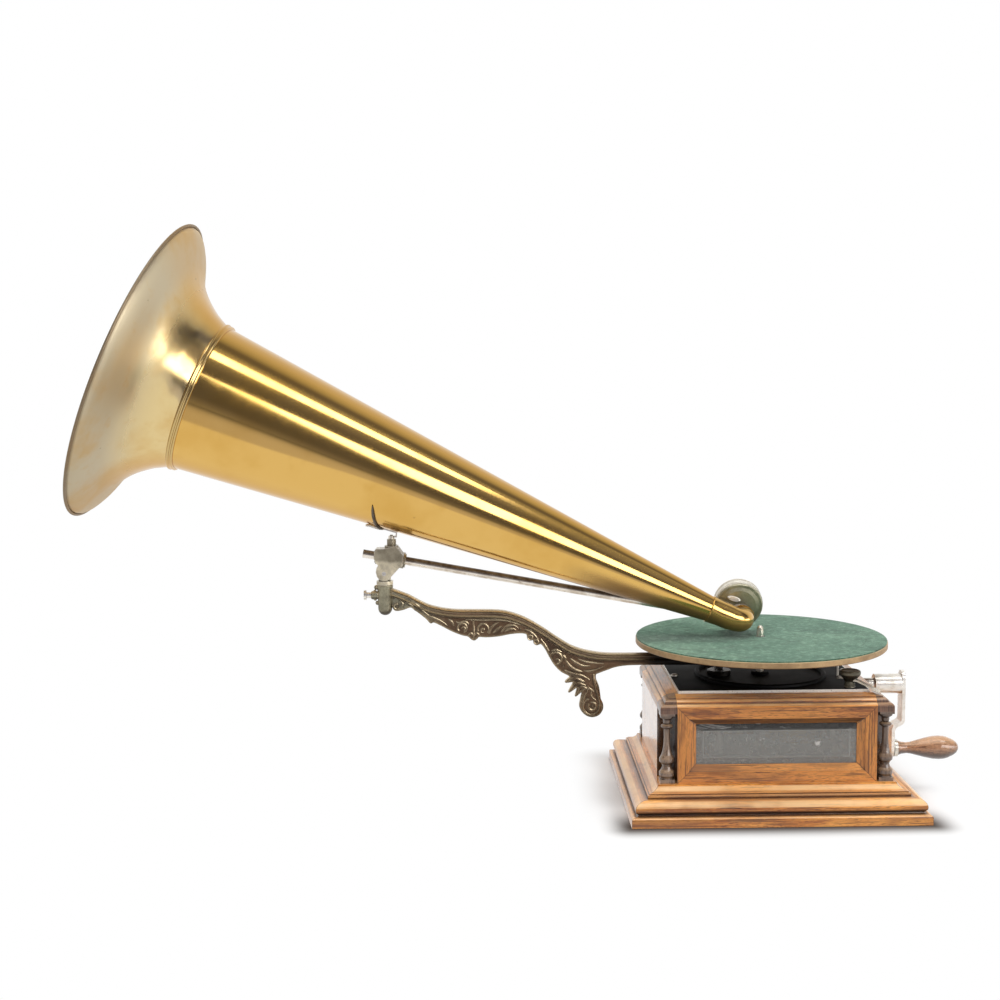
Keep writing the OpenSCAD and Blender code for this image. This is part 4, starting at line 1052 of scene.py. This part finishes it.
class MACHINE_OT_metal(bpy.types.Operator):
    """Puts the brass, nickel, iron and black finishes on the metal parts"""
    bl_idname = "machine.metal"
    bl_label = "Metals"

    def execute(self, context):
        for kind, name, one, two, three, numbers, more, nodes in METALS:
            dress(kind(name, srgb(*one), srgb(*two), srgb(*three), *numbers, **more), *nodes.split())
        dress(brass("motor_brass", srgb(206, 170, 104), srgb(120, 92, 50), None, 0.3, 7.0, 0.6),
              "spring_barrel", "spindle_wheel", "governor_weights", "governor_disc")
        dress(enamel("black_board", srgb(2, 2, 2), srgb(7, 6, 6), 0.5, 1.0, (BOARD_HW, BOARD_HD)), "motor_board")
        # The speed screw is given a black finish as painted shade under the turntable.
        dress(enamel("screw_painted_shade", srgb(14, 12, 11), srgb(40, 36, 30), 0.4, 2.0), "speed_screw")
        return {"FINISHED"}


class MACHINE_OT_soft(bpy.types.Operator):
    """Puts the felt, glass and small soft finishes on their parts"""
    bl_idname = "machine.soft"
    bl_label = "Felt and glass"

    def execute(self, context):
        felt = tuple(context.scene.machine_sizes.felt)
        dress(felt_cloth("green_felt", felt, srgb(112, 150, 124), srgb(28, 58, 42)), "platter_felt")
        dress(pane("plate_glass", srgb(225, 232, 230)), "window_glass_front", "window_glass_back")
        dress(plain_stuff("gasket_rubber", srgb(110, 62, 44), srgb(74, 40, 30), 0.7, 300), "sound_box_gaskets")
        dress(plain_stuff("mica", srgb(214, 204, 178), srgb(184, 170, 140), 0.25, 120, 0.05), "diaphragm")
        return {"FINISHED"}


class MACHINE_OT_horn(bpy.types.Operator):
    """Makes the cone, the bell, the ring and the elbow of the horn"""
    bl_idname = "machine.horn"
    bl_label = "Horn"

    def execute(self, context):
        horn, gold = on_horn(), tuple(context.scene.machine_sizes.horn)
        for node, sheet, finish in (
            ("horn_cone", horn_cone_sheet(), brass("cone_brass", gold, RED_GOLD, None, 0.10, 0.0, 0.3, horn)),
            ("horn_bell", horn_bell_sheet(),
             brass("bell_brass", BELL_GOLD, RED_GOLD, GREY_GOLD, 0.14, 3.0, 0.8, horn)),
            ("joint_ring", horn_joint_ring(), brass("ring_brass", RING_GOLD, RED_GOLD, None, 0.16, 5.0, 0.4, horn)),
            ("horn_elbow", horn_elbow_tube(), brass("elbow_brass", gold, RED_GOLD, None, 0.12, 1.0, 0.3)),
        ):
            coat(sheet, finish, "head", "horn_brass", node)
        return {"FINISHED"}


class MACHINE_OT_arm(bpy.types.Operator):
    """Casts the scroll arm with its leaf work"""
    bl_idname = "machine.arm"
    bl_label = "Scroll arm"

    def execute(self, context):
        bronze = casting("scroll_casting", srgb(116, 90, 66), srgb(42, 30, 22), srgb(226, 206, 168), 2.0, 0.34, 0.6,
                         srgb(176, 172, 146), shaded=(-0.105, 0.150))
        coat(scroll_arm(), bronze, "case", "bronzed_iron", "support_arm")
        return {"FINISHED"}


class MACHINE_OT_trim(bpy.types.Operator):
    """Adds the oval plate on the sound box, and the hook and the clip under the horn"""
    bl_idname = "machine.trim"
    bl_label = "Small metal trim"

    def execute(self, context):
        bright = plated("trim_nickel", srgb(255, 252, 246), srgb(236, 228, 214), srgb(150, 128, 104),
                        2.0, 0.24, 0.3, 0.3)
        iron = plated("hook_iron", srgb(110, 100, 88), srgb(74, 64, 54), srgb(60, 42, 30), 5.0, 0.4, 0.5)
        face = at_box() @ Matrix.Translation((-0.0057, -0.0086, -0.0009)) @ Matrix.Rotation(math.radians(18), 4, "Z")
        parts = [turned_sheet("oval_plate", [(0.99, 0.2), (1, -0.4), (0.96, -0.75), (0.86, -0.9), (0.02, -0.95)],
                              face @ Matrix.Diagonal((7.1, 2.7, 1, 1)), 64)]
        for x in (-5.2, 5.2):
            parts.append(turned_sheet("plate_rivet", [(0.9, -0.8), (0.8, -1.2), (0.5, -1.45), (0.02, -1.5)],
                                      face @ Matrix.Translation((x * MM, 0, 0)), 20))
        coat(joined("oval_plate", parts), bright, "head", "nickel")
        coat(wrap_hook(), iron, "head", "grey_iron")
        coat(lug_clip(), bright, "head", "nickel")
        return {"FINISHED"}


# ---------------------------------------------------------------- stage

# Name, place, aim, width and height in metres, and power in watts.
LAMPS = (
    ("key_light", (-1.3, -2.0, 2.7), (-0.2, 0, 0.2), (1.3, 0.9), 30),
    ("fill_light", (1.9, -1.6, 1.7), (0.0, 0, 0.15), (1.0, 1.0), 32),
    ("top_light", (-0.1, 0.1, 2.9), (-0.1, 0, 0.1), (1.8, 1.4), 40),
)
# Brightness of the room's walls in reflections, by the angle round the horn from straight in front.
WALLS = ((-180, 1.0), (-150, 0.95), (-125, 0.85), (-104, 0.72), (-92, 0.8), (-55, 0.92), (-43, 1.0), (-29, 1.0),
         (-25, 0.7), (-12, 0.5), (-3, 0.26), (7, 0.14), (30, 0.13), (55, 0.18), (66, 0.3), (84, 0.36), (90, 0.45),
         (96, 0.2), (104, 0.2), (115, 0.6), (127, 0.85), (150, 1.0), (180, 1.0))
# The horn's own axes, as the room's reflections follow them.
HORN_FRONT, HORN_UP, HORN_ALONG = (-0.0300, -0.9996, 0), (0.391, -0.0117, 0.920), (-0.920, 0.0276, 0.391)
DEGREES = 180 / math.pi
CAMERA_PLACE = (-0.28489, -1.51184, 0.45743)
CAMERA_TURN = (-0.1020, 0.0080, -0.0130)


def floor_paint():
    """White floor that keeps the lamps' shadow near the case, with a painted contact shadow along the case's foot,
    and ends in a dark room in reflections.
    """
    p = Paint("studio_white")
    seen, gloss = p.rays()
    place = p.node("ShaderNodeNewGeometry", out="Position")
    x, y, z = p.split(place)
    away = p.away(p.highest(p.size(x) - PLINTH_HW, 0.0), p.highest(p.size(y) - PLINTH_HD, 0.0))
    shadow = p.smooth(away, 0.050, 0.0)
    # Painted contact shadow along the foot of the case, strongest in front.
    painted_contact_shadow = p.smooth(away, 0.038, 0.0) * (0.16 + p.smooth(y, -0.06, -0.12) * 0.84)
    wobble = (p.noise(place, 4, 3, 0.6) - 0.5) * 0.10
    edge = wobble - 0.97 + p.smooth(x, -0.35, -0.62) * 0.30
    bright = p.smooth(y - edge, -0.02, 0.03)
    end_box = p.smooth(x, 1.35, 1.6) * p.smooth(p.size(y) - x * 0.24, 0.05, -0.05)
    far = p.smooth(y, -3.4, -1.0) * (1 - bright)
    level = gloss * (0.13 + bright * 0.87 + far * 0.55 + end_box * 1.2) + (1 - gloss)
    # Floor colour, darkened by the painted contact shadow.
    ground = p.mix(painted_contact_shadow * 0.95, (0.9, 0.9, 0.9, 1), (0.07, 0.055, 0.045, 1))
    base = p.shader("BsdfDiffuse", Color=p.mix(seen, (0.34, 0.33, 0.32, 1), ground))
    tint = p.mix(gloss * (1 - bright), grey(1.0), (1.0, 0.99, 1.15, 1))
    glow = p.shader("Emission", Color=tint, Strength=level)
    p.ends(p.blend(p.highest(seen * (1 - shadow), gloss), base, glow))
    return p.material


def studio_world():
    """White to the eye, soft grey as light, and in reflections a white room with a dark front and soft boxes."""
    world = bpy.data.worlds.new("studio")
    bpy.context.scene.world = world
    p = Paint("studio", world)
    camera, gloss = p.rays()
    x, y, z = p.split(p.node("ShaderNodeTexCoord", out="Generated"))
    front, up, along = [a * x + b * y + c * z for a, b, c in (HORN_FRONT, HORN_UP, HORN_ALONG)]
    turn = p.maths("ARCTAN2", up, front) * DEGREES
    room = p.ramp(turn / 360 + 0.5, [((a + 180) / 360, grey(v)) for a, v in WALLS])
    side = p.maths("ARCTAN2", x, 0 - y) * DEGREES
    rise = p.maths("ARCSINE", z) * DEGREES
    slope = rise - 20 + (side - 30) * 0.35
    strip_box = p.band(turn, 71, 84, 0.8) * p.band(along, -0.19, 0.15, 0.02)
    slant_box = p.band(side, 18, 72, 1.0) * p.band(slope, -12, 12, 1.0)
    side_box = p.band(side, 78, 102, 1.0) * p.band(rise, -14, 2, 0.8)
    end_box = p.band(turn, 50, 104, 2.0) * p.band(along, 0.16, 0.62, 0.01)
    dark = p.band(side, 80, 105, 2.0) * p.band(rise, 14, 37, 2.0)
    boxes = (strip_box + slant_box + side_box) * 5.0 + end_box * 1.1
    shine = room * (1 - dark * 0.6) + boxes
    shady = gloss * p.smooth(room, 0.5, 0.15) * p.smooth(boxes, 0.4, 0.0)
    soft = 0.20 + p.smooth(z, -0.2, 0.9) * 0.34
    p.ends(p.shader("Background", Color=p.mix(shady, grey(1.0), (1.0, 0.99, 1.3, 1)),
                    Strength=camera + (1 - camera) * (gloss * shine + (1 - gloss) * soft)), "ShaderNodeOutputWorld")


def studio_lamps(context):
    """Soft lamps that don't show in reflections."""
    for name, place, aim, size, power in LAMPS:
        light = bpy.data.lights.new(name, "AREA")
        light.shape = "RECTANGLE"
        light.size, light.size_y = size
        light.energy = power
        lamp = bpy.data.objects.new(name, light)
        context.scene.collection.objects.link(lamp)
        lamp.visible_glossy = False
        lamp.location = place
        lamp.rotation_euler = (Vector(aim) - Vector(place)).to_track_quat("-Z", "Y").to_euler()


def photo_camera(context, lens):
    """Camera solved from the edges of the case and the turntable."""
    rx, ry, rz = CAMERA_TURN
    turn = Matrix.Rotation(rz, 3, "Z") @ Matrix.Rotation(rx, 3, "X") @ Matrix.Rotation(ry, 3, "Y")
    view = Matrix((turn.col[0], turn.col[2], -turn.col[1])).transposed()
    camera = bpy.data.cameras.new("photo_camera")
    camera.lens = lens
    camera.sensor_width = 36
    camera.clip_start = 0.01
    eye = bpy.data.objects.new("photo_camera", camera)
    context.scene.collection.objects.link(eye)
    eye.matrix_world = Matrix.Translation(CAMERA_PLACE) @ view.to_4x4()
    context.scene.camera = eye


class MACHINE_OT_stage(bpy.types.Operator):
    """Builds the floor, the lights and the camera"""
    bl_idname = "machine.stage"
    bl_label = "Studio"

    def execute(self, context):
        sizes = context.scene.machine_sizes
        clear_selection()
        bpy.ops.mesh.primitive_plane_add(size=sizes.floor_size, location=(-0.2, 1.0, -0.0004))
        floor = context.object
        floor.name = "studio_floor"
        floor.data.materials.append(floor_paint())
        studio_world()
        studio_lamps(context)
        photo_camera(context, sizes.lens)
        context.scene.view_settings.view_transform = "Standard"
        return {"FINISHED"}


STEPS = (MACHINE_OT_wood, MACHINE_OT_metal, MACHINE_OT_soft, MACHINE_OT_horn, MACHINE_OT_arm, MACHINE_OT_trim,
         MACHINE_OT_stage)


class MACHINE_PT_panel(bpy.types.Panel):
    """Lists the sizes, the colours and the steps of the finish"""
    bl_label = "Talking machine"
    bl_idname = "MACHINE_PT_panel"
    bl_space_type = "VIEW_3D"
    bl_region_type = "UI"
    bl_category = "Machine"

    def draw(self, context):
        for name in ("floor_size", "lens", "felt", "horn"):
            self.layout.prop(context.scene.machine_sizes, name)
        for step in STEPS:
            self.layout.operator(step.bl_idname)


CLASSES = (MACHINE_PG_sizes, *STEPS, MACHINE_PT_panel)


def register():
    for kind in CLASSES:
        bpy.utils.register_class(kind)
    bpy.types.Scene.machine_sizes = bpy.props.PointerProperty(type=MACHINE_PG_sizes)


def unregister():
    del bpy.types.Scene.machine_sizes
    for kind in reversed(CLASSES):
        bpy.utils.unregister_class(kind)


def main():
    register()
    clear_selection()
    for step in STEPS:
        group, name = step.bl_idname.split(".")
        getattr(getattr(bpy.ops, group), name)()


if __name__ == "__main__":
    main()
